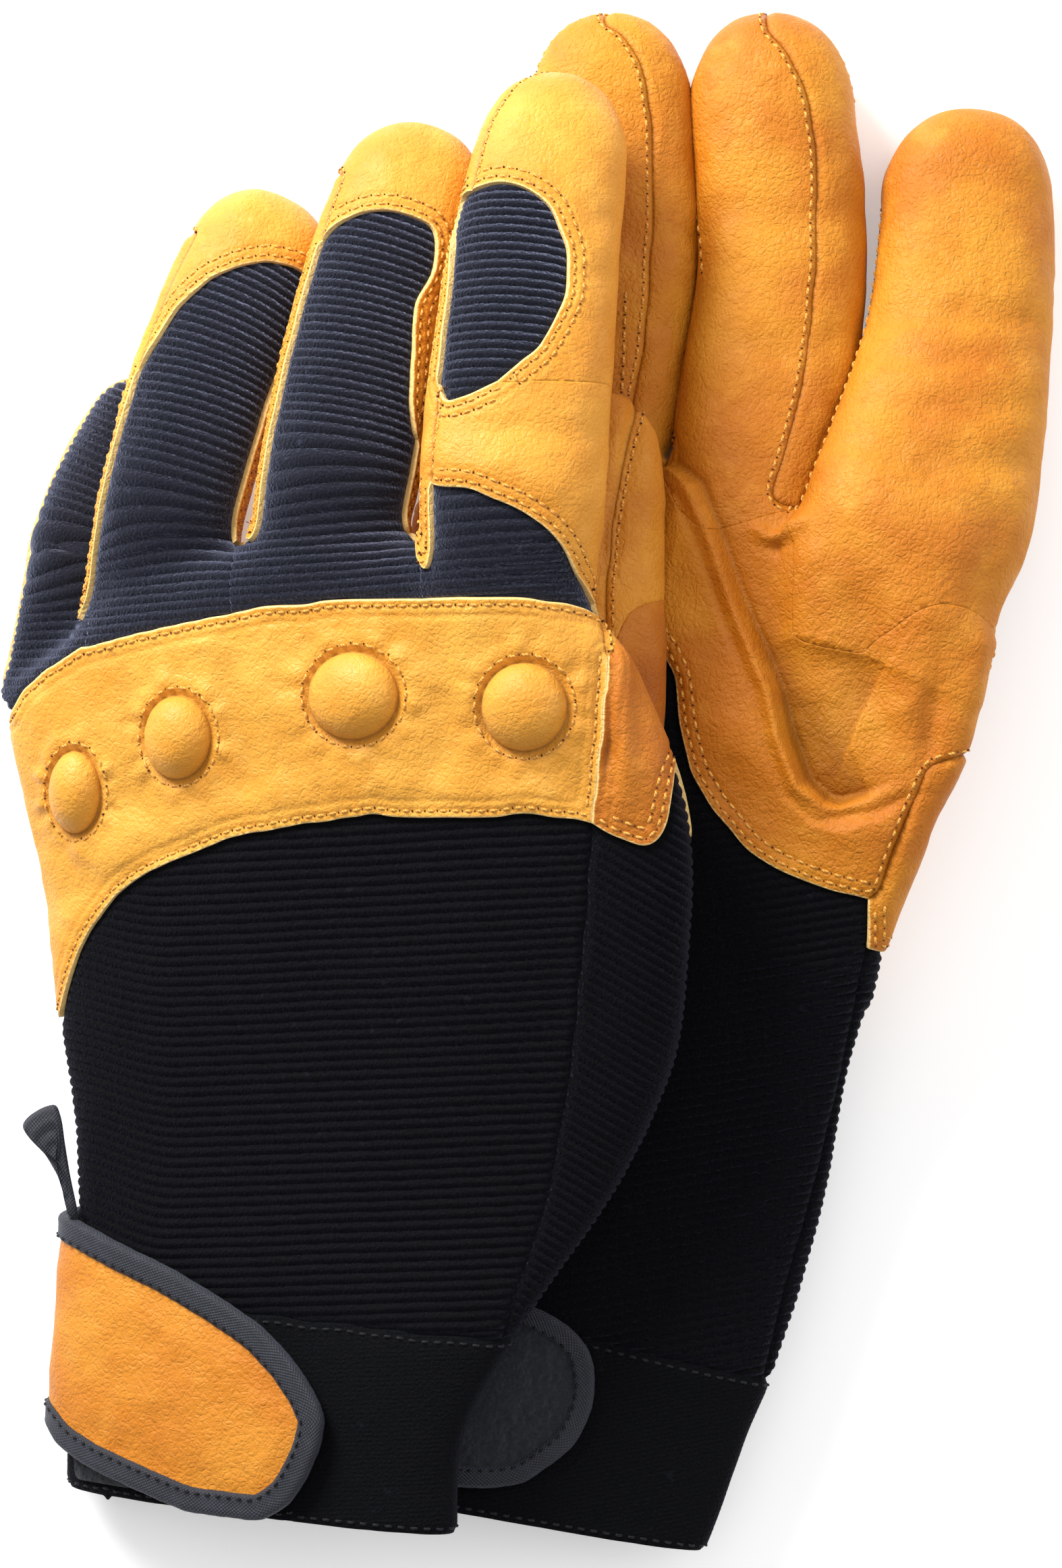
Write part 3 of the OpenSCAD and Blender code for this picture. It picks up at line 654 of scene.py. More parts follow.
def two_layer(Vf, Qf, Vi, Qc, Ef):
    """Fine outer skin over a coarse inner skin, joined by a rim, as vertex, loop and size lists."""
    n = len(Vf)
    E, a, b = edge_pairs(Qc)
    sp = set(map(tuple, E[b < 0].tolist()))
    faces = [Qf, Qc[:, ::-1] + n]
    rim = []
    for p, q in qedges(Qc).tolist():
        k = (min(p, q), max(p, q))
        if k in sp:
            m = Ef[k]
            rim.append((q, m, p, p + n, q + n))
    return np.vstack([Vf, Vi]), faces, np.array(rim, int).reshape(-1, 5)


def make_poly(name, V, faces, mat, body, attrs=None):
    me = bpy.data.meshes.new(name)
    V = np.asarray(V, float) / 1000
    idx = np.concatenate([f.ravel() for f in faces if len(f)])
    size = np.concatenate([np.full(len(f), f.shape[1]) for f in faces if len(f)])
    start = np.r_[0, np.cumsum(size)[:-1]]
    me.vertices.add(len(V)); me.vertices.foreach_set("co", V.astype(np.float32).ravel())
    me.loops.add(len(idx)); me.loops.foreach_set("vertex_index", idx.astype(np.int32))
    me.polygons.add(len(size)); me.polygons.foreach_set("loop_start", start.astype(np.int32))
    me.polygons.foreach_set("use_smooth", size == 4)      # the cut edges stay crisp
    me.update(calc_edges=True)
    me.validate()
    for an, av in (attrs or {}).items():
        a = me.attributes.new(an, "FLOAT", "POINT")
        a.data.foreach_set("value", np.asarray(av, np.float32))
    o = bpy.data.objects.new(name, me)
    bpy.context.scene.collection.objects.link(o)
    me.materials.append(mat)
    if body:
        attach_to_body(o, body)
    return o


# ---------------------------------------------------------------- labels
LAB = ["palm", "wrist_panel", "back_panel", "side_gusset", "side_strip", "knuckle_band", "thumb_patch",
       "thumb_front", "thumb_back", "index_front", "index_back", "index_saddle", "index_fourchette",
       "middle_front", "middle_back", "middle_fourchettes", "ring_front", "ring_back", "ring_fourchettes",
       "pinky_front", "pinky_back", "cuff"]
LI = {n: i for i, n in enumerate(LAB)}
LEATHER = {"palm", "side_strip", "knuckle_band", "thumb_patch", "thumb_front", "index_front", "index_saddle",
           "index_fourchette", "middle_front", "middle_fourchettes", "ring_front", "ring_fourchettes", "pinky_front", "thumb_back"}

BAND = P2("20 1040 30 1022 65 994 120 962 201 942 301 922 402 902 502 897 627 893 787 897 854 907 886 925 896 979 892 1051 889 1094 882 1137 876 1222 860 1212 787 1206 653 1208 552 1206 452 1221 351 1238 281 1266 211 1296 166 1331 136 1371 110 1417 90 1472 78 1522 40 1545 -40 1400 -60 1150".replace("  ", " ").split())
PATCH = P2("918 925 940 900 965 896 988 884 992 907 982 915 985 925 989 994 994 1034 992 1080 991 1137 986 1200 976 1237 961 1252 941 1250 906 1235 882 1224 889 1137 896 1051 900 979".split())
WINDOW = P2("680 308 743 288 780 302 813 325 842 395 836 464 801 534 756 574 708 604 660 618 664 557 670 470 674 395".split())
BRIDGE_LOW = P2("600 722 648 733 703 741 787 779 825 813 871 894 883 918 896 940".split())
GUSSET = P2("875 1215 870 1301 862 1402 852 1502 842 1597 823 1700 811 1775 776 1876 748 1962".split())
RING_ARC = P2("226 520 266 457 311 417 351 397 397 388 432 394 452 404 470 430 470 900 40 900".split())
MID_ARC = P2("462 400 482 361 502 341 542 324 582 321 622 334 650 346 645 412 617 462 610 600 640 900 300 900".split())
SEP = {"pr": P2("233 470 216 560 133 884 120 1010".split()), "rm": P2("424 470 366 650 351 796 345 940".split()),
       "mi": P2("645 330 640 480 618 700 625 789 628 930".split())}
F1 = P2("700 700 760 125 800 60 812 125 822 75 857 30 887 23 918 35 948 75 963 130 970 251 965 402 953 527 938 597 930 700".split())
F1 = P2("700 700 740 60 815 60 822 75 857 30 887 23 918 35 948 75 963 130 970 251 965 402 953 527 938 597 925 690".split())
F2 = P2("1000 800 1000 90 1048 50 1063 38 1098 32 1138 33 1169 65 1199 131 1214 226 1213 351 1204 477 1189 575 1161 676 1138 751 1133 776".split())
HEEL = P2("480 975 620 940 760 915 880 905 960 930 1003 1000 1008 1075 1023 1141 1058 1201 1108 1261 1169 1296 1239 1321 1302 1334".split())
SIDE_STRIP = P2("1364 1138 1404 1125 1440 1112 1520 1085 1500 1200 1450 1300 1420 1418 1300 1408 1284 1402 1294 1346 1314 1271 1339 1211 1362 1156".split())
SIDE_SEAM = P2("1284 1402 1274 1452 1249 1597 1227 1700 1202 1800 1172 1900 1138 2045".split())
THSEAM = P2("950 570 943 600 934 641 921 700 909 756 900 850 893 962 897 1060 902 1150".split())
HEM = P2("1367 1135 1440 1105 1480 1085".split())


def side_of(pl, p):
    d, arc, side, L = line_dist(pl, p)
    return d * side


def labels_left(G, c, own):
    t, u, v, hw, hh, qq = G.hand.coords(c)
    p = c[:, :2]
    lab = np.full(len(c), LI["palm"])
    hand = own == 0
    top = v > 0
    low = ~top
    # underside of the hand
    lab[hand & low & (t < 4.75 + 0.35 * np.cos(3 * u / hw))] = LI["wrist_panel"]
    lab[hand & low & (u > 0.62 * hw) & (u < 0.93 * hw) & (v < -0.8 * hh) & (t > 4.2) & (t < 5.9)] = LI["side_strip"]
    # top of the hand
    m = hand & ((v > -0.25 * hh) | ((u > 0.45 * hw) & (v > -0.8 * hh) & (t < 5.9)))
    lab[m] = LI["back_panel"]
    gx = np.interp(-c[:, 1], -GUSSET[:, 1], GUSSET[:, 0])
    lab[m & (c[:, 0] > gx) & (c[:, 1] < GUSSET[0, 1])] = LI["side_gusset"]
    above = m & ~inside(BAND, p) & (p[:, 1] > -7 + 0 * p[:, 0]) & (t > 6.2) & (p[:, 0] < 13)
    w = {k: np.interp(c[:, 1], [a, b], [0, 1.5]) for k, a, b in (("pr", 31, 60), ("rm", 42, 70), ("mi", 43, 75))}
    xp = {k: np.interp(-c[:, 1], -SEP[k][:, 1], SEP[k][:, 0]) for k in SEP}
    x = c[:, 0]
    fb = np.select([x < xp["pr"], x < xp["rm"], x < xp["mi"]], [LI["pinky_back"], LI["ring_back"], LI["middle_back"]], LI["index_back"])
    lab[above] = fb[above]
    for k, nm in (("pr", "ring_fourchettes"), ("rm", "middle_fourchettes"), ("mi", "index_fourchette")):
        lab[above & (np.abs(x - xp[k]) < w[k])] = LI[nm]
    bl = np.interp(x, BRIDGE_LOW[:, 0], BRIDGE_LOW[:, 1])
    sad = above & (x > xp["mi"] + 1) & (c[:, 1] > bl)
    lab[sad] = LI["index_saddle"]
    lab[m & (x > 13) & (t > 6.2)] = LI["palm"]
    px = np.interp(-c[:, 1], [-30, -21, -5, 5], [24.2, 24.4, 24.2, 20.0])
    lab[m & (x > px) & (c[:, 1] < 27)] = LI["side_gusset"]
    lab[m & inside(BAND, p)] = LI["knuckle_band"]
    lab[m & inside(PATCH, p)] = LI["thumb_patch"]
    lab[hand & (t < 1.93)] = LI["cuff"]
    # fingers
    for i, n in enumerate(NAMES):
        k = own == i + 1
        s, fu, fv, fw, fh = G.f[n].coords(c)
        ph = np.degrees(np.arctan2(fv / fh, fu / fw)) % 360
        if n == "thumb":
            lab[k] = LI["thumb_front"]
            # thumb patch seam at its root
            lab[k & inside(PATCH, p) & (fv > 0)] = LI["thumb_patch"]
            xs = np.interp(-c[:, 1], -THSEAM[:, 1], THSEAM[:, 0])
            lab[k & (x < xs) & (fv > -0.6 * fh)] = LI["thumb_back"]
            continue
        lab[k] = LI[n + "_front"]
        if n == "pinky":
            lab[k & (fv > -0.1 * fh)] = LI["pinky_back"]
        elif n == "index":
            lab[k & (ph > 148) & (ph < 212)] = LI["index_fourchette"]
            up = k & (ph <= 150) & (ph > 5)
            lab[up] = LI["index_front"]
            lab[up & (c[:, 1] < 68) & (ph > 5)] = LI["index_saddle"]
            lab[up & (c[:, 1] < bl) & (x < 13)] = LI["index_back"]
            lab[k & (fv > 0) & inside(WINDOW, p)] = LI["index_back"]
        else:
            f = LI[n + "_fourchettes"]
            lab[k & ((ph < 26) | (ph > 325))] = f
            lab[k & (ph > 152) & (ph < 215)] = f
            up = k & (ph >= 26) & (ph <= 152)
            arc = RING_ARC if n == "ring" else MID_ARC
            lab[up] = LI[n + "_front"]
            lab[up & (inside(arc, p) | (c[:, 1] < 60))] = LI[n + "_back"]
            yarc = np.interp(x, arc[:-2][:, 0], arc[:-2][:, 1]) if n == "ring" else np.interp(x, arc[:7][:, 0], arc[:7][:, 1])
            cap = k & (s > G.f[n].L - G.f[n].tip * 1.0)
            lab[cap & ((ph < 26) | (ph > 325) | ((ph > 152) & (ph < 215)))] = LI[n + "_front"]
        if n != "thumb":
            lab[k & (fv > -0.2 * fh) & inside(BAND, p)] = LI["knuckle_band"]
            if n == "index":
                lab[k & (fv > -0.2 * fh) & inside(PATCH, p) & (c[:, 1] < 27)] = LI["thumb_patch"]
    return lab


def labels_right(G, c, own):
    t, u, v, hw, hh, qq = G.hand.coords(c)
    p = c[:, :2]
    x = c[:, 0]
    lab = np.full(len(c), LI["palm"])
    hand = own == 0
    m = hand & (v > -0.45 * hh)
    hx = np.interp(x, HEEL[:, 0], HEEL[:, 1])
    below = (x > HEEL[0, 0]) & (c[:, 1] < hx) & (x < HEEL[-1, 0] + 3)
    wr = m & (below | (t < 3.6))
    lab[wr] = LI["wrist_panel"]
    rt = m & ~inside(SIDE_STRIP, p) & (c[:, 1] < -20) & (x > np.interp(-c[:, 1], -SIDE_SEAM[:, 1], SIDE_SEAM[:, 0]))
    lab[rt & (c[:, 1] < HEEL[-1, 1] + 2)] = LI["side_gusset"]
    lab[m & inside(SIDE_STRIP, p)] = LI["side_strip"]
    # the back of the hand, underneath
    lo = hand & (v <= -0.45 * hh)
    lab[lo] = LI["back_panel"]
    lab[lo & (u > 0.55 * hw) & (t < 5.6)] = LI["side_gusset"]
    lab[lo & (t > 5.55 + 0.25 * (u / hw) ** 2) & (t < 7.3)] = LI["knuckle_band"]
    lab[lo & (u > 0.66 * hw) & (t > 5.5) & (t < 6.9)] = LI["thumb_patch"]
    far = lo & (t >= 7.3)
    D = np.stack([np.abs(G.f[n].coords(c)[1]) / G.f[n].hw[20] for n in NAMES[:4]], 1)
    near = np.array([LI[n + "_back"] for n in NAMES[:4]])[D.argmin(1)]
    lab[far] = near[far]
    lab[hand & (t < 1.93)] = LI["cuff"]
    for i, n in enumerate(NAMES):
        k = own == i + 1
        s, fu, fv, fw, fh = G.f[n].coords(c)
        ph = np.degrees(np.arctan2(fv / fh, fu / fw)) % 360
        if n == "thumb":
            lab[k] = np.where(fv[k] > 0, LI["thumb_front"], LI["thumb_back"])
            continue
        if n == "pinky":
            lab[k] = np.where(fv[k] > -0.1 * fh[k], LI["pinky_front"], LI["pinky_back"])
            continue
        f = LI[n + ("_fourchette" if n == "index" else "_fourchettes")]
        lab[k] = LI[n + "_back"]
        lab[k & (fv > 0)] = LI[n + "_front"]
        if n == "index":
            lab[k & ((ph < 50) | (ph > 305))] = LI["index_front"]
            lab[k & (ph > 182) & (ph < 226) & (s > 6)] = f
        else:
            lab[k & ((ph < 44) | (ph > 320)) & (s > -1)] = f
            lab[k & (ph > 172) & (ph < 220) & (s > 6)] = f
            poly = F1 if n == "ring" else F2
            lab[k & (fv > 0) & ~inside(poly, p) & (fu > 0) & (s > -1)] = f
            lab[k & (fv > 0) & inside(poly, p) & (ph < 165)] = LI[n + "_front"]
        cap = k & (fv < 0) & (s > G.f[n].L - 1.1 * G.f[n].tip)
        lab[cap] = LI[n + "_front"]
        if n == "index":
            sd = k & (fv < 0) & (s > 14) & (s < 30) & (ph > 222) & (ph < 318)
            lab[sd] = LI["index_saddle"]
    return lab


def components(Q, lab):
    """Connected patches of equal label."""
    E, a, b = edge_pairs(Q)
    m = b >= 0
    a, b = a[m], b[m]
    s = lab[a] == lab[b]
    a, b = a[s], b[s]
    comp = np.arange(len(Q))
    while True:
        lo = np.minimum(comp[a], comp[b])
        n = comp.copy()
        np.minimum.at(n, a, lo)
        np.minimum.at(n, b, lo)
        n = n[n]
        if (n == comp).all():
            return comp
        comp = n


def drop_specks(Q, lab, least=60):
    for _ in range(4):
        comp = components(Q, lab)
        u, inv, cnt = np.unique(comp, return_inverse=True, return_counts=True)
        small = cnt[inv] < least
        if not small.any():
            break
        E, a, b = edge_pairs(Q)
        m = b >= 0
        a, b = a[m], b[m]
        for x, y in ((a, b), (b, a)):
            k = small[x] & ~small[y]
            votes = {}
            for i, l in zip(inv[x[k]].tolist(), lab[y[k]].tolist()):
                votes.setdefault(i, {}).setdefault(l, 0)
                votes[i][l] += 1
            for i, v in votes.items():
                lab[inv == i] = max(v, key=v.get)
    return lab


# fold lines and rolled seams, as outline, height and half-width in mm; positive is a ridge
FOLDS = {
 "right": [
  ("1379 1020 1374 1070 1366 1135", -1.3, 2.0), ("1300 1060 1350 1040 1372 1060", 0.8, 4.0), ("1250 1010 1290 1050 1300 1120", -0.7, 4.0),
  ("1215 1215 1290 1204 1360 1172", -0.7, 1.0),
  ("1180 800 1200 880 1205 960 1190 1050", 0.9, 7.0), ("1240 860 1280 960 1300 1060", -0.7, 5.0),
  ("1122 786 1136 800 1160 800 1192 776", 2.0, 1.3), ("1134 806 1150 812 1166 806", -1.6, 1.2), ("1010 690 1050 800 1075 760", -0.5, 3.0),
  ("1330 700 1420 760 1500 790", -0.6, 4.0), ("1300 470 1420 462 1560 480", -0.7, 3.0), ("1290 520 1400 540 1550 520", -0.35, 2.5),
  ("1240 655 1380 690 1545 690", -0.7, 3.2), ("1260 600 1400 612 1550 600", -0.3, 2.2),
  ("1350 250 1460 262 1560 270", -0.35, 3.0), ("840 330 950 352 1040 335", -0.5, 3.0), ("835 470 940 490 1030 455", -0.45, 3.0),
  ("1065 300 1180 322 1290 300", -0.45, 3.0), ("1060 500 1170 520 1290 480", -0.5, 3.0), ("1050 660 1130 690 1190 660", -0.4, 3.0),
  ("1060 1120 1110 1190 1180 1240 1260 1262", -0.7, 4.5), ("1000 960 1060 1040 1120 1130", 0.7, 5.0),
  ("1230 1240 1290 1236 1330 1222", 0.8, 4.5), ("1400 800 1360 900 1340 1000", 0.7, 6.0), ("1480 780 1440 900 1405 1010", -0.6, 5.0)],
 "left": [
  ("893 962 889 1020 893 1090 902 1150", -1.4, 1.8), ("915 950 912 1020 918 1100 925 1180", 0.8, 2.4), ("940 960 938 1040 945 1120", -0.6, 2.0),
  ("941 600 933 641 921 700 909 756 900 850", -1.3, 1.5), ("918 605 914 680 900 760", 0.7, 2.2), ("958 620 956 720 950 800", 0.8, 2.4),
  ("950 690 948 780 958 850", -0.35, 3.0), ("645 640 760 655 882 668", -0.4, 2.4), ("645 690 760 712 885 760", 0.45, 3.0),
  ("700 150 800 170 915 160", -0.25, 3.0), ("855 330 880 345 925 340", -0.4, 2.2), ("850 420 875 430 893 428", -0.35, 2.2),
  ("190 985 185 1040 205 1100 215 1190", -0.8, 3.2), ("350 960 345 1040 372 1120 360 1200", -0.9, 4.0), ("400 940 398 1010 410 1080", 0.5, 3.0),
  ("640 930 652 1010 655 1090 640 1170", -0.9, 4.0), ("700 930 690 990 702 1070", 0.4, 3.0), ("860 960 852 1040 862 1120 850 1190", -0.6, 3.0),
  ("130 1290 220 1240 330 1200 440 1172 560 1160 700 1160 820 1172", 0.45, 3.5), ("60 1240 140 1210 220 1180", -0.5, 3.5),
  ("150 1330 240 1276 330 1238", -0.35, 2.5), ("470 1150 560 1135 650 1140", 0.35, 6.0), ("720 1150 780 1130 850 1138", -0.4, 3.0),
  ("60 1330 110 1320 150 1300", -0.4, 3.0), ("40 1190 90 1260 120 1300", -0.5, 3.0)]}
DOMES = {"left": [(109, 1174, 39, 62), (268, 1093, 50, 62), (530, 1034, 66, 64), (778, 1051, 62, 64)]}


def fold_height(side, V, N):
    h = np.zeros(len(V))
    up = smoothstep(0.15, 0.5, N[:, 2])
    p = V[:, :2]
    for s, a, w in FOLDS[side]:
        pl = P2(s.split())
        lo, hi = pl.min(0) - 3 * w, pl.max(0) + 3 * w
        m = (p[:, 0] > lo[0]) & (p[:, 0] < hi[0]) & (p[:, 1] > lo[1]) & (p[:, 1] < hi[1])
        if not m.any():
            continue
        d, arc, sg, L = line_dist(pl, p[m])
        fade = np.minimum(smoothstep(-2, 5, arc), smoothstep(-2, 5, L - arc)) * np.exp(-np.maximum(0, 0))
        h[m] += a * bell(d, w) * (0.35 + 0.65 * fade)
    if side == "right":
        pl = P2("960 655 978 688 1023 726 1053 801 1088 902 1138 1027 1153 1097 1179 1166 1214 1198 1240 1205 1289 1191 1345 1162".split())
        m = (p[:, 0] > pl[:, 0].min() - 25) & (p[:, 1] > pl[:, 1].min() - 25) & (p[:, 1] < pl[:, 1].max() + 20)
        d, arc, sg, L = line_dist(pl, p[m])
        ends = smoothstep(-1, 9, arc) * smoothstep(0, 16, L - arc)
        main = sg > 0
        deep = 0.8 + 3.7 * smoothstep(0.3 * L, 0.72 * L, arc) * (1 - 0.6 * smoothstep(0.86 * L, L, arc))
        k = 2.15 * bell(d, 1.45) * smoothstep(0, 12, L - arc - 12)
        k = k + np.where(main, -deep * smoothstep(0.4, 2.8, d) * np.exp(-np.maximum(d - 2.4, 0) / 8.5), 1.1 * smoothstep(0.6, 2.6, d) * np.exp(-np.maximum(d - 3, 0) / 7.0))
        k = k - 0.55 * bell(d - 2.3, 0.7)
        h[m] += k * ends
    return h * up


def rib_coord(side, name, G, V, own_f):
    if name in ("back_panel", "side_gusset", "wrist_panel", "cuff") or own_f is None:
        t, u, v, hw, hh, qq = G.hand.coords(V)
        s = u / hw
        if side == "left":
            if name == "side_gusset":
                return V[:, 1] * 0.86 + V[:, 0] * 0.5
            if name == "wrist_panel":
                return qq
            return V[:, 1] - 0.06 * V[:, 0] - 5.0 * smoothstep(-0.55, -1.05, s) * 1.2
        return V[:, 1] * 0.985 - V[:, 0] * 0.17
    s, fu, fv, fw, fh = G.f[own_f].coords(V)
    w = smoothstep(-6, 14, s)
    y0 = G.f[own_f].C[20, 1]
    return (1 - w) * (V[:, 1] - 0.06 * V[:, 0]) + w * (s + y0 + 0.04 * (fu / fw) ** 2 * fw)


def rib_amp(name):
    return {"cuff": 0.03}.get(name, 0.28)


def rib_pitch(side, name):
    return {"cuff": 0.8, "side_gusset": 1.6, "wrist_panel": 1.7, "back_panel": 1.78}.get(name, 1.55)


ROWS = {}       # an empty table, never filled; the stitch positions go to THREADS


FRONTS = {"palm", "index_front", "middle_front", "ring_front", "pinky_front"}
FAB = {"back_panel", "index_back", "middle_back", "ring_back", "pinky_back"}


def seam_kind(a, b):
    """0 no seam, 1 turned seam in leather, 2 leather lapped over fabric, 3 a seam in fabric."""
    if b < 0:
        return 2
    A, B = LAB[a], LAB[b]
    if A == B:
        return 0
    if A in FRONTS and B in FRONTS:
        return 0
    if {A, B} <= {"index_front", "index_saddle"} or {A, B} <= {"thumb_front", "palm", "thumb_patch"}:
        return 0
    if {A, B} <= {"thumb_patch", "thumb_back"}:
        return 0
    if A in FAB and B in FAB:
        return 0
    la, lb = A in LEATHER, B in LEATHER
    if la and lb:
        return 2 if "thumb_patch" in (A, B) and "knuckle_band" in (A, B) else 1
    if la or lb:
        return 2
    return 3


KIND = {}


def kind_of(a, b):
    k = (min(a, b), max(a, b))
    if k not in KIND:
        KIND[k] = seam_kind(k[1], k[0])
    return KIND[k]


def spread(V, Q, seeds, cap):
    """Distance of each vertex from a set of seed vertices, by steps over the mesh."""
    E, a, b = edge_pairs(Q)
    d = np.full(len(V), cap)
    d[seeds] = 0
    X = np.vstack([Q[:, [0, 2]], Q[:, [1, 3]]])
    EE = np.vstack([E, X])
    LL = np.linalg.norm(V[EE[:, 0]] - V[EE[:, 1]], axis=1)
    for _ in range(int(cap / 0.34) + 2):
        act = (d[EE[:, 0]] < cap) | (d[EE[:, 1]] < cap)
        e, l = EE[act], LL[act]
        nd = d.copy()
        np.minimum.at(nd, e[:, 0], d[e[:, 1]] + l)
        np.minimum.at(nd, e[:, 1], d[e[:, 0]] + l)
        if np.abs(nd - d).max() < 1e-6:
            break
        d = nd
    return d


def build_panels(side, G, other, mats):
    V, Q, own = core(G)
    c = V[Q].mean(1)
    lab = (labels_left if side == "left" else labels_right)(G, c, own)
    lab = drop_specks(Q, clean_labels(Q, lab, 4))
    V = smooth_borders(V, Q, lab, 14)
    N = normals(V, Q)
    for _ in range(2):      # softer normals keep raised skins from folding at creases
        E0 = qedges(Q)
        acc = N.copy()
        np.add.at(acc, E0[:, 0], N[E0[:, 1]])
        np.add.at(acc, E0[:, 1], N[E0[:, 0]])
        N = unit(acc)
    nV, nQ = len(V), len(Q)
    E, ea, eb = edge_pairs(Q)
    la, lb = lab[ea], np.where(eb < 0, -1, lab[np.maximum(eb, 0)])
    diff = np.nonzero((eb < 0) | (la != lb))[0]
    kinds = {}
    nb, eidx = {}, {}
    seeds = {1: [], 2: [], 3: []}
    for k in diff.tolist():
        p, r = E[k].tolist()
        kd = 2 if lb[k] < 0 else kind_of(int(la[k]), int(lb[k]))
        nb[(p, r)] = (int(la[k]), int(lb[k]), kd)
        eidx[(p, r)] = k
        if kd:
            seeds[kd] += [p, r, nV + k]
    Vf, Nf, Qf = subdivide(V, N, Q)
    dist = {k: spread(Vf, Qf, np.array(seeds[k], int), 9.0 if k == 2 else 5.0) for k in (1, 2, 3)}
    stitches, objs = [], {}
    for i, name in enumerate(LAB):
        sel = np.nonzero(lab == i)[0]
        if not len(sel):
            print("no faces for", side, name)
            continue
        fq = Qf[np.concatenate([sel + j * nQ for j in range(4)])]
        used = np.unique(fq)
        mf = np.full(len(Vf), -1)
        mf[used] = np.arange(len(used))
        uc = np.unique(Q[sel])
        mc = np.full(nV, -1)
        mc[uc] = np.arange(len(uc))
        vf, nfv = Vf[used], Nf[used]
        v, n = V[uc], N[uc]
        dT, dL, dF = (dist[k][used] for k in (1, 2, 3))
        d = np.minimum(np.minimum(dT, dL), dF)
        oth = np.min([other.hand.field(vf)] + [other.f[k].field(vf) for k in NAMES], axis=0)
        lim = np.clip(oth * 0.42, 0.0, 9.0)
        owner = np.bincount(own[sel], minlength=6).argmax()
        fn = name.split("_")[0]
        own_f = fn if name.endswith("_back") and fn in NAMES else None
        rib = np.zeros(len(vf))
        painted_shade = np.zeros(len(vf))
        if name in LEATHER:
            prof = 0.68 * np.minimum(np.sqrt(np.clip(dT / 1.35, 0.015, 1)), 0.84 + 0.16 * np.sqrt(np.clip(dL / 0.5, 0, 1)))
            h = prof - 0.24 * bell(dL - 1.25, 0.5) - 0.2 * bell(dL - 2.95, 0.5)
            wr = 0.3 * noise(vf, 12.0, 1) + 0.17 * noise(vf, 5.2, 2) + 0.08 * noise(vf, 2.3, 3)
            if name == "knuckle_band":
                wr = wr * 1.25
            wr = wr * smoothstep(0.2, 2.5, d)
            fold = fold_height(side, vf, nfv) * smoothstep(0.0, 1.6, d)
            # pull lines run in from sewn edges
            pull = 0.1 * noise(np.c_[vf[:, 0] * 1.0, vf[:, 1] * 1.0, vf[:, 2] * 1.0], 1.9, 31) * bell(dL - 2.2, 2.2)
            h = h + wr + fold + pull
            # painted shade: darker in fold valleys, in the turned-seam creases and in the two stitch grooves in from
            # lapped edges
            painted_shade = np.clip(-fold * 0.3, 0, 0.5 if side == "left" else 0.66) + 0.6 * bell(dT, 0.45) + 0.22 * bell(dL - 1.25, 0.5) + 0.15 * bell(dL - 2.95, 0.45)
            if name == "knuckle_band" and side == "left":
                p = vf[:, :2]
                for X, Y, rx, ry in DOMES["left"]:
                    cx, cy = P2([X, Y])[0]
                    e = np.sqrt(((p[:, 0] - cx) / (rx * 0.1186)) ** 2 + ((p[:, 1] - cy) / (ry * 0.1186)) ** 2)
                    up = smoothstep(0.1, 0.4, nfv[:, 2])
                    h = h + up * (-0.55 * bell(e - 1.0, 0.1) + 0.35 * bell(e - 1.32, 0.22))
                    ang = np.arctan2(p[:, 1] - cy, p[:, 0] - cx)
                    h = h + up * (0.2 * np.sin(ang * 9 + X) + 0.13 * np.sin(ang * 15 + Y)) * bell(e - 1.42, 0.26) * smoothstep(1.05, 1.2, e)
                    # painted shade: a dark ring where each dome pad meets the band
                    painted_shade = painted_shade + 0.5 * bell(e - 1.0, 0.06)
            if name == "side_strip":
                h = h + 0.2 * smoothstep(0, 1, d)
            edge = dL
        else:
            rib = rib_coord(side, name, G, vf, own_f)
            pt = rib_pitch(side, name)
            ph = 2 * math.pi * (rib / pt) + 0.5 * noise(vf, 14.0, 5)
            amp = rib_amp(name) * smoothstep(0.0, 1.2, d)
            sn = np.abs(np.sin(ph / 2)) ** 0.6
            h = amp * (sn - 0.62) * 1.9 + 0.3 * noise(vf, 17.0, 6) * smoothstep(0, 4, d) + 0.12 * noise(vf, 6.0, 8) * smoothstep(0, 2, d)
            h = h - 0.12 - 0.45 * bell(dF, 0.8)
            # cloth tucks in where leather is sewn over it
            h = h - 0.25 * bell(dL, 0.9)
            h = h + 0.5 * fold_height(side, vf, nfv) * smoothstep(0.0, 2.0, d)
            rib = ph / (2 * math.pi)
            edge = np.full(len(vf), 5.0)
        h = np.minimum(h, lim)
        vo = vf + nfv * h[:, None]
        vo[:, 2] = np.maximum(vo[:, 2], 0.03)
        hc = h[mf[uc]]
        vi = v + n * (np.minimum(hc, 0.3) - (0.85 if name in LEATHER else 0.75))[:, None]
        vi[:, 2] = np.maximum(vi[:, 2], np.maximum(vo[mf[uc], 2] * 0 + 0.45, 0))
        ni = len(vf)
        faces = [mf[fq], mc[Q[sel]][:, ::-1] + ni]
        rim, rimc = [], set()
        for p, r in qedges(Q[sel]).tolist():
            k = (p, r) if p < r else (r, p)
            if k in nb:
                rim.append((mf[r], mf[nV + eidx[k]], mf[p], mc[p] + ni, mc[r] + ni))
                rimc.update((mc[p], mc[r]))
        faces.append(np.array(rim, int).reshape(-1, 5))
        ei = np.full(len(vi), 5.0)
        if name in LEATHER and rimc:
            rl = np.array(sorted(rimc))
            ei[rl] = edge[mf[uc[rl]]]
        VV = np.vstack([vo, vi])
        attrs = {"edge": np.r_[edge, ei], "rib": np.r_[rib, rib[mf[uc]]], "painted_shade": np.r_[painted_shade, np.zeros(len(vi))]}
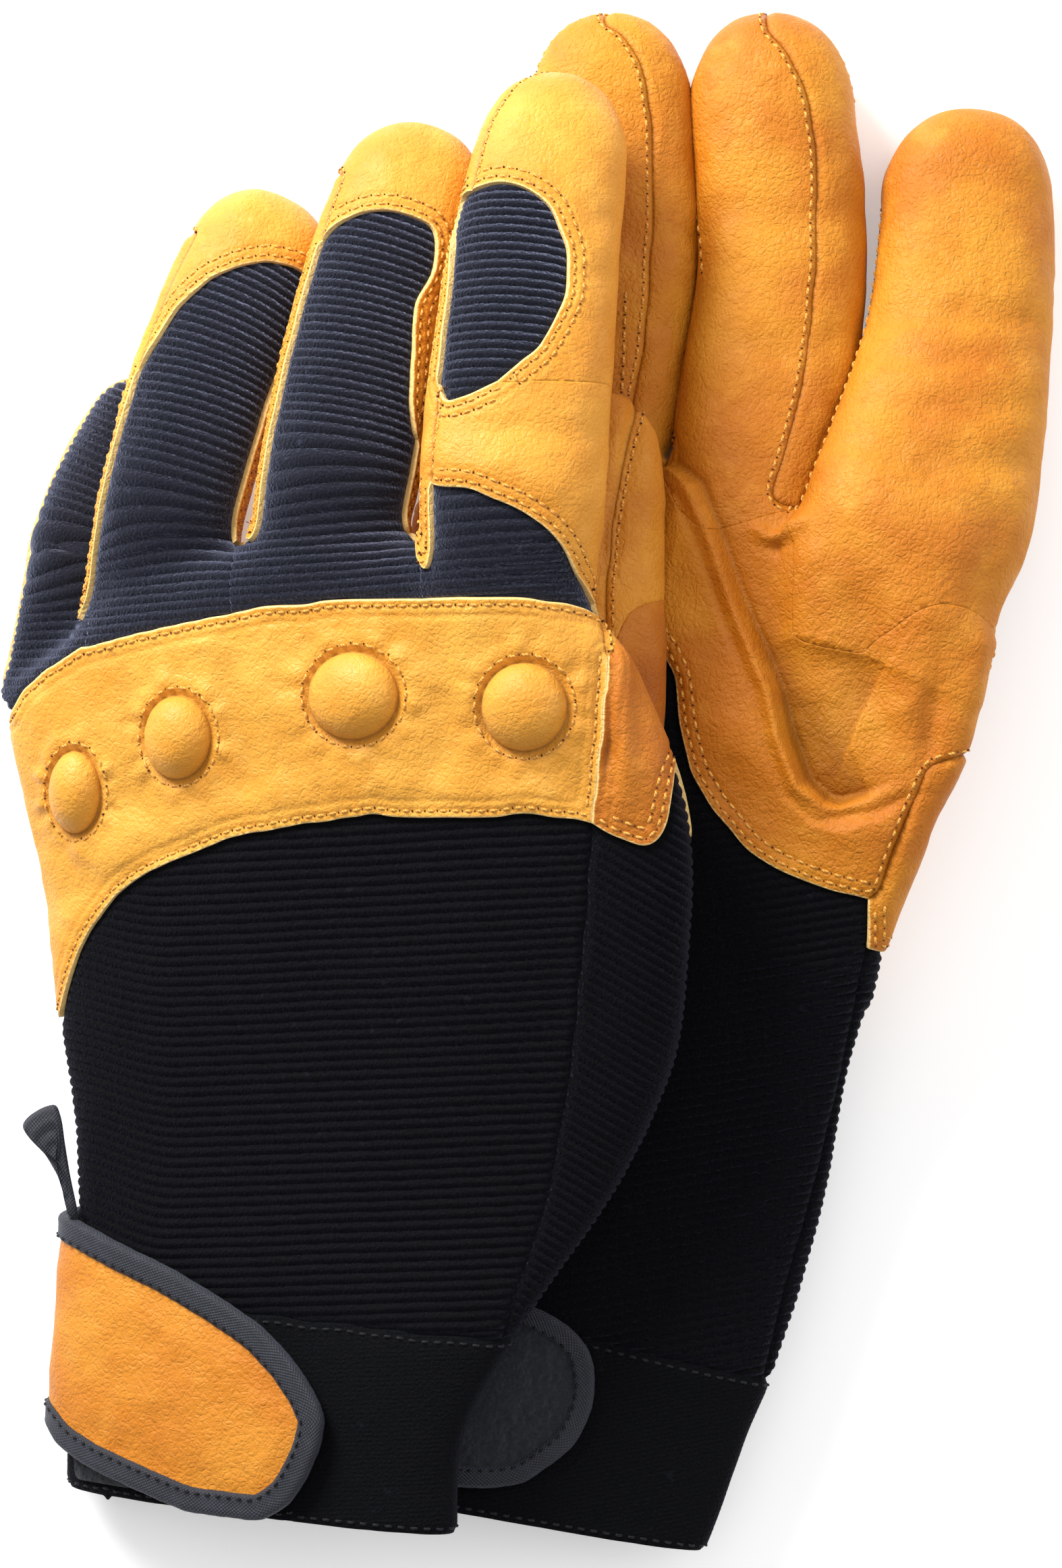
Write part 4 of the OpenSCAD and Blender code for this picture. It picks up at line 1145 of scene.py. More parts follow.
        o = make_poly(side + "_" + name, VV, faces, mats(side, name), None, attrs)
        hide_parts(side + "_" + name)
        objs[name] = o
        if name in LEATHER or name == "cuff":
            for L in border_loops(Q[sel]):
                if len(L) >= 14:
                    stitches.append((name, V[L], N[L], L))
    return objs, stitches, nb, (V, Q, N, lab)


def slot_of(name):
    if name in ("knuckle_band", "knuckle_pads", "thumb_patch", "strap_face"):
        return "leather_back"
    if name in ("back_panel", "side_gusset", "wrist_panel", "index_back", "middle_back", "ring_back", "pinky_back"):
        return "ribbed_fabric"
    if name == "cuff":
        return "cuff_elastic"
    if name in ("strap_binding", "palm_pad_binding", "pull_tab"):
        return "binding_tape"
    if name in ("strap_backing", "hook_patch", "palm_pad"):
        return "hook_and_loop"
    return "leather_palm"


# ---------------------------------------------------------------- thread
def capsules(P, T, N, length=1.55, r=0.27):
    """One small stitch per point: an arched, rounded length of thread along T."""
    P, T, N = np.asarray(P), unit(np.asarray(T)), unit(np.asarray(N))
    B = np.cross(T, N)
    ks = np.array([-1, -0.72, -0.3, 0.3, 0.72, 1.0])
    rr = np.array([0.35, 0.85, 1.0, 1.0, 0.85, 0.35]) * r
    up = np.array([-0.34, -0.06, 0.1, 0.1, -0.06, -0.34])
    m = 6
    an = np.arange(m) * 2 * math.pi / m
    V = np.zeros((len(P), len(ks), m, 3))
    for i, (k, rad, h) in enumerate(zip(ks, rr, up)):
        ctr = P + T * (k * length / 2) + N * h
        for j, a in enumerate(an):
            V[:, i, j] = ctr + B * (math.cos(a) * rad) + N * (math.sin(a) * rad)
    base = np.arange(len(P))[:, None] * len(ks) * m
    q = []
    for i in range(len(ks) - 1):
        for j in range(m):
            j2 = (j + 1) % m
            q.append([i * m + j, i * m + j2, (i + 1) * m + j2, (i + 1) * m + j])
    q = np.array(q)[None] + base[:, :, None]
    capA = np.array([[0, 1, 2, 3], [0, 3, 4, 5]])[:, ::-1]
    capB = np.array([[0, 1, 2, 3], [0, 3, 4, 5]]) + (len(ks) - 1) * m
    q2 = np.vstack([capA, capB])[None] + base[:, :, None]
    F = np.vstack([q.reshape(-1, 4), q2.reshape(-1, 4)])
    V = V.reshape(-1, 3)
    a = V[F]
    vol = np.einsum("ij,ij->i", a[:, 0], np.cross(a[:, 1], a[:, 2])).sum() + np.einsum("ij,ij->i", a[:, 0], np.cross(a[:, 2], a[:, 3])).sum()
    if vol < 0:
        F = F[:, ::-1]
    return V, F


def holes(P, T, N):
    """Painted shade for the needle hole between one stitch and the next: a short dark capsule."""
    return capsules(P, T, N, length=0.55, r=0.27)


def resample(L, step, closed=True):
    if closed:
        L = np.vstack([L, L[:1]])
    d = np.r_[0, np.cumsum(np.linalg.norm(np.diff(L, axis=0), axis=1))]
    n = max(int(d[-1] / step), 1)
    s = (np.arange(n) + 0.5) * d[-1] / n
    return np.stack([np.interp(s, d, L[:, j]) for j in range(3)], 1), s, d


def bvh_of(objs):
    V, T, off = [], [], 0
    for o in objs:
        n = len(o.data.vertices)
        co = np.zeros(n * 3, np.float32)
        o.data.vertices.foreach_get("co", co)
        V.append(co.reshape(-1, 3))
        o.data.calc_loop_triangles()
        t = np.zeros(len(o.data.loop_triangles) * 3, np.int32)
        o.data.loop_triangles.foreach_get("vertices", t)
        T.append(t.reshape(-1, 3) + off)
        off += n
    V = np.vstack(V)
    return BVHTree.FromPolygons(V.tolist(), np.vstack(T).tolist())


def lay_rows(name, L, N, gid, nb, offs, step=2.25):
    """Points a set distance in from a border loop."""
    P, T, NN = [], [], []
    M = len(L)
    S = L.copy()
    for _ in range(4):
        S = 0.5 * S + 0.25 * (np.roll(S, 1, 0) + np.roll(S, -1, 0))
    D = unit(np.roll(S, -3, 0) - np.roll(S, 3, 0))
    IN = unit(np.cross(N, D))          # loops run with the panel on their left
    keep = np.zeros(M, int)
    for k in range(M):
        a, b = int(gid[k]), int(gid[(k + 1) % M])
        x = nb.get((min(a, b), max(a, b)))
        if x is None:
            continue
        me = LI[name]
        o = x[0] if x[1] == me else x[1]
        if x[2] == 0:
            keep[k] = 0
        elif o < 0:
            keep[k] = 1 if name == "cuff" else 0
        elif LAB[o] in LEATHER:
            if x[2] == 2:
                keep[k] = 1 if name == "knuckle_band" else 0
            else:
                keep[k] = 1 if me < o else 0
        elif name == "cuff":
            keep[k] = 1
        else:
            keep[k] = 1 if name == "knuckle_band" else 2
    for r, off in enumerate(offs):
        C = S + IN * off
        for _ in range(3):
            C = 0.5 * C + 0.25 * (np.roll(C, 1, 0) + np.roll(C, -1, 0))
        d = np.r_[0, np.cumsum(np.linalg.norm(np.diff(np.vstack([C, C[:1]]), axis=0), axis=1))]
        n = max(int(d[-1] / step), 1)
        s = (np.arange(n) + 0.5) * d[-1] / n
        ii = np.clip(np.searchsorted(d, s) - 1, 0, M - 1)
        f = ((s - d[ii]) / np.maximum(d[ii + 1] - d[ii], 1e-6))[:, None]
        jj = (ii + 1) % M
        pts = C[ii] * (1 - f) + C[jj] * f
        tt = unit(C[(ii + 2) % M] - C[(ii - 1) % M])
        k = keep[ii] > r
        P.append(pts[k]); T.append(tt[k]); NN.append(N[ii][k])
    return np.vstack(P), np.vstack(T), np.vstack(NN)


def drop_on(bvh, P, N, lift=0.02, reach=4.0):
    out, nn, ok = [], [], []
    for p, n in zip(P, N):
        a = Vector((p + n * reach) / 1000)
        h = bvh.ray_cast(a, Vector(-n), 2.2 * reach / 1000)
        if h[0] is None:
            out.append(p); nn.append(n); ok.append(False)
        else:
            out.append(np.array(h[0]) * 1000 + n * lift)
            m = np.array(h[1])
            if m @ n < 0:
                m = -m
            nn.append(unit(0.6 * m + 0.4 * n)); ok.append(True)
    ok = np.array(ok)
    return np.array(out)[ok], np.array(nn)[ok], ok


# ---------------------------------------------------------------- materials
class M:
    """Small helper for node materials."""

    def __init__(self, name):
        self.m = bpy.data.materials.new(name)
        self.m.use_nodes = True
        self.nt = self.m.node_tree
        self.nt.nodes.clear()
        self.out = self.nt.nodes.new("ShaderNodeOutputMaterial")
        self.b = self.nt.nodes.new("ShaderNodeBsdfPrincipled")
        self.nt.links.new(self.b.outputs[0], self.out.inputs["Surface"])
        self.co = self.nt.nodes.new("ShaderNodeTexCoord").outputs["Object"]

    def n(self, kind, **kw):
        x = self.nt.nodes.new(kind)
        for k, v in kw.items():
            setattr(x, k, v)
        return x

    def link(self, a, b):
        self.nt.links.new(a, b)

    def put(self, sock, v):
        if hasattr(v, "links"):
            self.link(v, sock)
        else:
            sock.default_value = v

    def noise(self, scale, detail=4.0, rough=0.55, vec=None, dist=0.0):
        x = self.n("ShaderNodeTexNoise")
        x.inputs["Scale"].default_value = scale
        x.inputs["Detail"].default_value = detail
        x.inputs["Roughness"].default_value = rough
        x.inputs["Distortion"].default_value = dist
        self.link(vec or self.co, x.inputs["Vector"])
        return x.outputs["Fac"] if "Fac" in x.outputs else x.outputs[0]

    def noise_col(self, scale):
        x = self.n("ShaderNodeTexNoise")
        x.inputs["Scale"].default_value = scale
        self.link(self.co, x.inputs["Vector"])
        return x.outputs["Color"]

    def voronoi(self, scale, feature="DISTANCE_TO_EDGE", vec=None):
        x = self.n("ShaderNodeTexVoronoi", feature=feature)
        x.inputs["Scale"].default_value = scale
        self.link(vec or self.co, x.inputs["Vector"])
        return x.outputs["Distance"]

    def attr(self, name):
        x = self.n("ShaderNodeAttribute", attribute_name=name)
        return x.outputs["Fac"]

    def math(self, op, a, b=0.0, c=0.0):
        x = self.n("ShaderNodeMath", operation=op)
        self.put(x.inputs[0], a)
        self.put(x.inputs[1], b)
        if op in ("MULTIPLY_ADD",):
            self.put(x.inputs[2], c)
        return x.outputs[0]

    def ramp(self, v, a, b, lo=0.0, hi=1.0, smooth=True):
        x = self.n("ShaderNodeMapRange", interpolation_type="SMOOTHSTEP" if smooth else "LINEAR")
        self.put(x.inputs["Value"], v)
        x.inputs["From Min"].default_value = a
        x.inputs["From Max"].default_value = b
        x.inputs["To Min"].default_value = lo
        x.inputs["To Max"].default_value = hi
        return x.outputs["Result"]

    def mix(self, f, a, b, blend="MIX"):
        x = self.n("ShaderNodeMix", data_type="RGBA", blend_type=blend)
        self.put(x.inputs[0], f)
        self.put(x.inputs[6], a)
        self.put(x.inputs[7], b)
        return x.outputs[2]

    def bump(self, h, dist, strength=1.0, normal=None):
        x = self.n("ShaderNodeBump")
        x.inputs["Strength"].default_value = strength
        x.inputs["Distance"].default_value = dist
        self.link(h, x.inputs["Height"])
        if normal is not None:
            self.link(normal, x.inputs["Normal"])
        return x.outputs["Normal"]


def lin(r, g, b):
    def f(c):
        c /= 255
        return c / 12.92 if c <= 0.04045 else ((c + 0.055) / 1.055) ** 2.4
    return (f(r), f(g), f(b), 1.0)


def leather(name, base, dark, light, edge, rough=0.5, grain=1.0, sheen=0.03, smooth=0.0):
    m = M(name)
    big = m.noise(38, 3, 0.55)
    mid = m.noise(170, 4, 0.6)
    c = m.mix(m.ramp(big, 0.36, 0.66), dark, base)
    c = m.mix(m.ramp(mid, 0.5, 0.8, 0.0, 0.4), c, light)
    speck = m.noise(620, 2, 0.5)
    c = m.mix(m.ramp(speck, 0.68, 0.76, 0.0, 0.4), c, dark)
    vein = m.ramp(m.noise(560, 4, 0.65, dist=0.8), 0.34, 0.5, 0.28, 0.0)
    c = m.mix(vein, c, dark)
    # painted shade from the vertex attribute: creases, seams and pad rims go towards a deep brown
    painted_shade = m.attr("painted_shade")
    c = m.mix(m.ramp(painted_shade, 0.05, 0.9, 0.0, 0.75), c, tuple(x * 0.42 for x in dark[:3]) + (1.0,))
    e = m.attr("edge")
    wob = m.math("MULTIPLY_ADD", m.noise(900, 2, 0.5), 0.35, e)
    c = m.mix(m.ramp(wob, 0.28, 0.62, 1.0, 0.0), c, edge)
    m.link(c, m.b.inputs["Base Color"])
    r = m.ramp(m.noise(120, 4, 0.6), 0.3, 0.7, rough - 0.09, rough + 0.12)
    m.link(r, m.b.inputs["Roughness"])
    warp = m.n("ShaderNodeVectorMath", operation="MULTIPLY_ADD")
    m.link(m.noise_col(420), warp.inputs[0])
    warp.inputs[1].default_value = (0.0012, 0.0012, 0.0012)
    m.link(m.co, warp.inputs[2])
    wv = warp.outputs[0]
    pore = m.voronoi(880, vec=wv)
    pore2 = m.voronoi(2100, vec=wv)
    fine = m.noise(2600, 3, 0.6)
    wr = m.noise(330, 5, 0.62, dist=0.6)
    h = m.math("MULTIPLY", m.ramp(pore, 0.0, 0.3), 0.55)
    h = m.math("MULTIPLY_ADD", m.ramp(pore2, 0.0, 0.3), 0.22, h)
    h = m.math("MULTIPLY_ADD", fine, 0.22, h)
    nrm = m.bump(wr, 0.0007 * grain, 0.6)
    nrm = m.bump(h, 0.00017 * grain, 0.75, nrm)
    m.link(nrm, m.b.inputs["Normal"])
    m.b.inputs["Sheen Weight"].default_value = sheen
    m.b.inputs["Specular IOR Level"].default_value = 0.27
    m.b.inputs["Coat Weight"].default_value = 0.02 + smooth
    m.b.inputs["Coat Roughness"].default_value = 0.42
    return m.m


def knit(name, base, hi, sheen=0.25, rib_depth=0.0005, fine=0.00022, cross=False):
    m = M(name)
    rib = m.attr("rib")
    s = m.math("ABSOLUTE", m.math("SINE", m.math("MULTIPLY", rib, 3.1415926)))
    sh = m.math("POWER", s, 0.6)
    # loops of yarn seen along each rib
    yarn = m.noise(1900, 3, 0.6)
    fz = m.noise(5200, 3, 0.7)
    vor = m.voronoi(1700, "F1")
    # painted shade: the colour darkens to 45% in the grooves between ribs
    c = m.mix(m.ramp(sh, 0.1, 0.95), tuple(x * 0.45 for x in base[:3]) + (1.0,), base)
    c = m.mix(m.ramp(fz, 0.5, 0.8, 0.0, 0.6), c, hi)
    lint = m.noise(420, 2, 0.4)
    c = m.mix(m.ramp(lint, 0.7, 0.8, 0.0, 0.35), c, hi)
    m.link(c, m.b.inputs["Base Color"])
    m.link(m.ramp(yarn, 0.3, 0.7, 0.78, 0.95), m.b.inputs["Roughness"])
    n1 = m.bump(sh, rib_depth, 0.8)
    h = m.math("MULTIPLY_ADD", m.ramp(vor, 0.1, 0.7, 1.0, 0.0), 0.6, m.math("MULTIPLY", fz, 0.5))
    n2 = m.bump(h, fine, 0.8, n1)
    m.link(n2, m.b.inputs["Normal"])
    m.b.inputs["Sheen Weight"].default_value = sheen
    m.b.inputs["Sheen Roughness"].default_value = 0.45
    m.b.inputs["Sheen Tint"].default_value = (0.62, 0.68, 1.0, 1.0)
    m.b.inputs["Specular IOR Level"].default_value = 0.08
    return m.m


def tape(name, base, hi):
    m = M(name)
    s = m.attr("rib")
    w = m.math("SINE", m.math("MULTIPLY", s, 6.283185 / 0.72))
    v = m.math("SINE", m.math("MULTIPLY", m.attr("across"), 6.283185 / 0.62))
    wv = m.math("MULTIPLY_ADD", m.math("MULTIPLY", w, v), 0.5, 0.5)
    fz = m.noise(3600, 3, 0.6)
    c = m.mix(m.ramp(wv, 0.2, 0.9, 0.0, 0.7), base, hi)
    c = m.mix(m.ramp(m.noise(260, 3, 0.6), 0.5, 0.75, 0.0, 0.5), c, hi)
    m.link(c, m.b.inputs["Base Color"])
    m.link(m.ramp(fz, 0.3, 0.7, 0.55, 0.8), m.b.inputs["Roughness"])
    n1 = m.bump(wv, 0.00016, 0.8)
    m.link(m.bump(fz, 0.0001, 0.6, n1), m.b.inputs["Normal"])
    m.b.inputs["Sheen Weight"].default_value = 0.1
    m.b.inputs["Sheen Tint"].default_value = (0.7, 0.78, 1.0, 1.0)
    return m.m


def loops(name, base, hi):
    m = M(name)
    a = m.noise(2300, 5, 0.75, dist=1.5)
    b = m.voronoi(1150, "F1")
    c = m.mix(m.ramp(a, 0.4, 0.72), base, hi)
    m.link(c, m.b.inputs["Base Color"])
    m.link(m.ramp(a, 0.3, 0.7, 0.85, 1.0), m.b.inputs["Roughness"])
    n1 = m.bump(m.ramp(b, 0.0, 0.8, 1.0, 0.0), 0.0005, 0.8)
    m.link(m.bump(a, 0.0005, 0.9, n1), m.b.inputs["Normal"])
    m.b.inputs["Sheen Weight"].default_value = 0.15
    m.b.inputs["Sheen Tint"].default_value = (0.8, 0.85, 1.0, 1.0)
    return m.m


def thread(name, base, dark):
    m = M(name)
    w = m.n("ShaderNodeTexWave", wave_type="BANDS", bands_direction="DIAGONAL")
    w.inputs["Scale"].default_value = 900
    w.inputs["Distortion"].default_value = 0.6
    m.link(m.co, w.inputs["Vector"])
    c = m.mix(m.ramp(w.outputs["Fac"], 0.2, 0.8), dark, base)
    m.link(c, m.b.inputs["Base Color"])
    m.link(m.ramp(m.noise(2500, 2, 0.5), 0.3, 0.7, 0.5, 0.7), m.b.inputs["Roughness"])
    m.link(m.bump(w.outputs["Fac"], 0.00008, 0.7), m.b.inputs["Normal"])
    m.b.inputs["Sheen Weight"].default_value = 0.04
    m.b.inputs["Specular IOR Level"].default_value = 0.25
    return m.m


RAW = lin(236, 196, 124)
MAT = {
 "leather_palm_left": leather("leather_palm_left", lin(218, 152, 52), lin(204, 132, 36), lin(230, 168, 72), RAW, 0.5, 0.9, smooth=0.02),
 # painted shade: a darker, redder copy of the palm leather for the right glove, which lies further from the key light
 "leather_palm_right": leather("leather_palm_right", lin(202, 132, 30), lin(182, 104, 14), lin(218, 150, 50), RAW, 0.54, 1.15, sheen=0.0),
 "leather_back": leather("leather_back", lin(220, 158, 60), lin(208, 140, 44), lin(232, 176, 84), RAW, 0.45, 0.85, smooth=0.04),
 "leather_deep": leather("leather_deep", lin(210, 140, 38), lin(190, 114, 22), lin(224, 158, 58), RAW, 0.5, 1.0),
 # painted shade: a darker copy of the leather for the left thumb patch, which sits in shade by the thumb
 "leather_patch_shaded": leather("leather_patch_shaded", lin(190, 114, 26), lin(168, 90, 14), lin(206, 132, 40), RAW, 0.52, 1.0),
 # painted shade: a darker copy of the leather for the strap faces
 "leather_strap": leather("leather_strap", lin(208, 136, 40), lin(192, 114, 26), lin(222, 154, 58), RAW, 0.5, 1.0),
 # painted light: two copies of the ribbed fabric, a near-black shaded one for the back, wrist and gusset panels and a
 # lighter, bluer one for the finger backs, which face the key light
 "fabric": knit("ribbed_fabric", lin(4, 4, 6), lin(26, 27, 36), 0.06),
 "fabric_fingers_lit": knit("ribbed_fabric_fingers_lit", lin(17, 18, 25), lin(62, 65, 84), 0.42),
 "cuff": knit("cuff_knit", lin(6, 7, 9), lin(26, 27, 34), 0.04, 0.00006, 0.00022),
 "tape": tape("binding_tape", lin(12, 13, 19), lin(40, 43, 57)),
 "loop": loops("loop_pile", lin(13, 15, 19), lin(38, 42, 50)),
 "back": knit("strap_backing_cloth", lin(20, 21, 27), lin(48, 50, 62), 0.2, 0.0002, 0.0002),
 "thread": thread("pale_thread", lin(230, 172, 84), lin(190, 128, 48)),
 # painted shade: dark brown for the shade inside the needle holes
 "holes": thread("needle_holes", lin(92, 50, 16), lin(60, 30, 8)),
 "dark_thread": thread("dark_thread", lin(16, 18, 26), lin(6, 6, 9)),
}


def mats(side, name):
    s = slot_of(name)
    if name == "thumb_patch" and side == "left":
        return MAT["leather_patch_shaded"]
    if name == "strap_face":
        return MAT["leather_strap"]
    # the finger backs take the lit copy of the fabric, painted light
    if name in ("index_back", "middle_back", "ring_back", "pinky_back"):
        return MAT["fabric_fingers_lit"]
    if name == "thumb_patch" or name.startswith("thumb_"):
        return MAT["leather_deep" if side == "left" else "leather_palm_right"]
    if s == "leather_back":
        return MAT["leather_back"]
    if s == "leather_palm":
        return MAT["leather_palm_" + side]
    if name == "cuff":
        return MAT["cuff"]
    if s == "binding_tape":
        return MAT["tape"]
    if name == "strap_backing":
        return MAT["back"]
    if s == "hook_and_loop":
        return MAT["loop"]
    return MAT["fabric"]


# ---------------------------------------------------------------- things that lie on the cuff
def surf(G, q, th):
    H = G.hand
    it = np.interp(q, H.q, np.arange(len(H.q)))
    i = np.clip(it.astype(int), 0, len(H.q) - 2)
    f = (it - i)[:, None]
    L = lambda A: A[i] * (1 - f) + A[i + 1] * f
    hw = (H.hw[i] * (1 - f[:, 0]) + H.hw[i + 1] * f[:, 0])[:, None]
    hh = (H.hh[i] * (1 - f[:, 0]) + H.hh[i + 1] * f[:, 0])[:, None]
    k = 2 / HAND_E
    c, s = np.cos(th), np.sin(th)
    return L(H.C) + L(H.W) * hw * (np.sign(c) * np.abs(c) ** k)[:, None] + L(H.U) * hh * (np.sign(s) * np.abs(s) ** k)[:, None]


ARC = {}


def arc_table(G, key):
    """Girth position as a length, so that shapes drawn flat keep their size around the cuff."""
    if key not in ARC:
        th = np.linspace(-0.6, 2 * math.pi + 0.6, 1600)
        P = surf(G, np.full(len(th), G.hand.q[0] + 22.0), th)
        s = np.r_[0, np.cumsum(np.linalg.norm(np.diff(P, axis=0), axis=1))]
        ARC[key] = (th, s)
    return ARC[key]


def lay(G, key, D, off):
    """Domain points (girth length, station) to 3-D, off mm above the cuff, and the outward normal."""
    th, s = arc_table(G, key)
    T = np.interp(D[:, 0], s, th)
    e = 0.4
    P = surf(G, D[:, 1], T)
    t1, t0 = np.interp(D[:, 0] + e, s, th), np.interp(D[:, 0] - e, s, th)
    A = surf(G, D[:, 1], t1) - surf(G, D[:, 1], t0)
    B = surf(G, D[:, 1] + e, T) - surf(G, D[:, 1] - e, T)
    N = unit(np.cross(B, A))
    N = np.where(((N * (P - surf_mid(G, D[:, 1]))).sum(1) < 0)[:, None], -N, N)
    return P + N * (off[:, None] if np.ndim(off) else off), N


def surf_mid(G, q):
    H = G.hand
    return np.stack([np.interp(q, H.q, H.C[:, j]) for j in range(3)], 1)


def to_domain(G, key, XY, lift=2.0):
    """Where outline points drawn from above lie on the cuff."""
    th, s = arc_table(G, key)
    sel = (th > -0.15) & (th < math.pi + 0.2)
    ss = s[sel][::2]
    qs = np.arange(G.hand.q[0] + 0.2, G.hand.q[0] + 52, 0.35)
    A, B = np.meshgrid(ss, qs, indexing="ij")
    D = np.stack([A.ravel(), B.ravel()], 1)
    P, N = lay(G, key, D, lift)
    up = N[:, 2] > -0.05
    D, P = D[up], P[up]
    out = []
    for x, y in XY:
        k = ((P[:, 0] - x) ** 2 + (P[:, 1] - y) ** 2).argmin()
        out.append(D[k])
    return np.array(out)


def smooth_closed(C, step, its=3, keep=None):
    C = np.vstack([C, C[:1]])
    d = np.r_[0, np.cumsum(np.linalg.norm(np.diff(C, axis=0), axis=1))]
    n = max(int(d[-1] / step), 12)
    s = np.arange(n) * d[-1] / n
    X = np.stack([np.interp(s, d, C[:, j]) for j in range(C.shape[1])], 1)
    for _ in range(its):
        X = 0.5 * X + 0.25 * (np.roll(X, 1, 0) + np.roll(X, -1, 0))
    return X


def inset(C, w):
    """A closed plane outline moved inwards by w."""
    T = unit(np.roll(C, -1, 0) - np.roll(C, 1, 0))
    N = np.stack([-T[:, 1], T[:, 0]], 1)
    area = 0.5 * np.sum(C[:, 0] * np.roll(C[:, 1], -1) - np.roll(C[:, 0], -1) * C[:, 1])
    X = C + N * w * (1 if area > 0 else -1)
    for _ in range(3):
        X = 0.5 * X + 0.25 * (np.roll(X, 1, 0) + np.roll(X, -1, 0))
    return X


def sheet_piece(name, G, key, C, mid, base, thick, mat, rings=26, crown=0.0, rough=0.0, edge_mm=None, pile=0.0):
    """A closed flat piece that follows the cuff: outline C in domain, rings running in to the mid segment."""
    a, b = np.array(mid, float)
    d = b - a
    t = np.clip(((C - a) @ d) / (d @ d), 0, 1)
    I = a + t[:, None] * d
    n = len(C)
    R = np.linspace(0, 1, rings + 1) ** 1.25
    Ds, rr = [], []
    for r in R:
        Ds.append(C * (1 - r) + I * r)
        rr.append(np.full(n, r))
    D, r = np.vstack(Ds), np.concatenate(rr)
    dist = np.concatenate([np.linalg.norm(C - X, axis=1) for X in Ds])
    P0, N = lay(G, key, D, base)
    prof = thick * (0.62 + 0.38 * np.sqrt(np.clip(dist / 0.7, 0, 1)))
    h = prof + crown * smoothstep(0, 7, dist) + rough * (0.6 * noise(P0, 9, 11) + 0.4 * noise(P0, 3.5, 12)) * smoothstep(0.3, 3, dist)
    if pile:
        h = h + pile * noise(P0, 0.9, 15) + pile * 0.6 * noise(P0, 2.1, 16)
    Po = P0 + N * h[:, None]
    q = []
    for k in range(rings):
        i = np.arange(n)
        j = (i + 1) % n
        q.append(np.stack([k * n + i, k * n + j, (k + 1) * n + j, (k + 1) * n + i], 1))
    q = np.vstack(q)
    # close the slit along the mid segment by welding equal inner points
    last = np.arange(rings * n, (rings + 1) * n)
    V = np.vstack([Po, P0])
    N2 = len(Po)
    rim = np.stack([np.arange(n), (np.arange(n) + 1) % n, (np.arange(n) + 1) % n + N2, np.arange(n) + N2], 1)
    F = np.vstack([q, q[:, ::-1] + N2, rim[:, ::-1]])
    ar = V[F]
    vol = np.einsum("ij,ij->i", ar[:, 0], np.cross(ar[:, 1], ar[:, 2])).sum() + np.einsum("ij,ij->i", ar[:, 0], np.cross(ar[:, 2], ar[:, 3])).sum()
    if vol < 0:
        F = F[:, ::-1]
    dd = np.r_[dist, np.zeros(N2)] if edge_mm is None else np.full(len(V), edge_mm)
    o = make(name, V, F, mat, None, {"edge": dd, "rib": np.tile(D[:, 1] / 1.3, 2), "across": np.tile(D[:, 0], 2), "painted_shade": np.zeros(len(V))})
    weld(o)
    return o


def weld(o, d=0.00006):
    bm = bmesh.new()
    bm.from_mesh(o.data)
    bmesh.ops.remove_doubles(bm, verts=bm.verts, dist=d)
    bmesh.ops.dissolve_degenerate(bm, edges=bm.edges, dist=1e-6)
    bmesh.ops.recalc_face_normals(bm, faces=bm.faces)
    bm.to_mesh(o.data)
    bm.free()


def sweep_binding(name, P, N, half_w, half_t, mat, closed=True):
    """A folded tape along a 3-D path: flat, round-edged section lying in the surface."""
    n = len(P)
    if closed:
        T = unit(np.roll(P, -1, 0) - np.roll(P, 1, 0))
    else:
        T = unit(np.gradient(P, axis=0))
    B = unit(np.cross(N, T))
    N = unit(np.cross(T, B))
    m = 18
    an = np.arange(m) * 2 * math.pi / m
    k = 2 / 3.0
    cx, sx = np.cos(an), np.sin(an)
    U = np.sign(cx) * np.abs(cx) ** k * half_w
    W = np.sign(sx) * np.abs(sx) ** k * half_t
    W = W * (1 - 0.12 * (np.abs(U) < half_w * 0.5) * (W > 0))
    d = np.r_[0, np.cumsum(np.linalg.norm(np.diff(P, axis=0), axis=1))]
    wob = 1 + 0.015 * np.sin(d * 1.1) + 0.012 * np.sin(d * 2.7 + 1)
    V = P[:, None] + B[:, None] * U[None, :, None] * wob[:, None, None] + N[:, None] * W[None, :, None]
    V = V.reshape(-1, 3)
    F = []
    cnt = n if closed else n - 1
    i = np.arange(cnt)
    i2 = (i + 1) % n
    for j in range(m):
        j2 = (j + 1) % m
        F.append(np.stack([i * m + j, i2 * m + j, i2 * m + j2, i * m + j2], 1))
    F = np.vstack(F)
    extra = []
    if not closed:
        for base_i, rev in ((0, False), ((n - 1) * m, True)):
            for a in range(0, m - 2, 2):
                x = [base_i, base_i + a + 1, base_i + a + 2, base_i + min(a + 3, m - 1)]
                if x[2] == x[3]:
                    continue
                extra.append(x[::-1] if rev else x)
        F = np.vstack([F, np.array(extra)])
    ar = V[F]
    vol = np.einsum("ij,ij->i", ar[:, 0], np.cross(ar[:, 1], ar[:, 2])).sum() + np.einsum("ij,ij->i", ar[:, 0], np.cross(ar[:, 2], ar[:, 3])).sum()
    if vol < 0:
        F = F[:, ::-1]
    per = np.cumsum(np.r_[0, np.hypot(np.diff(U), np.diff(W))])
    o = make(name, V, F, mat, None, {"rib": np.repeat(d, m), "across": np.tile(per, n), "edge": np.full(len(V), 5.0), "painted_shade": np.zeros(len(V))})
    weld(o, 0.00001)
    return o, B, T


# ======== BUILD
GL = {"left": Glove(LEFT_HAND, LF, THUMB_ROOT["left"]), "right": Glove(RIGHT_HAND, RF, THUMB_ROOT["right"])}
ALL = {}


def finger_of(side, name):
    if side == "right":
        for f in ("index", "middle"):
            if name.startswith(f + "_"):
                return f
    return None


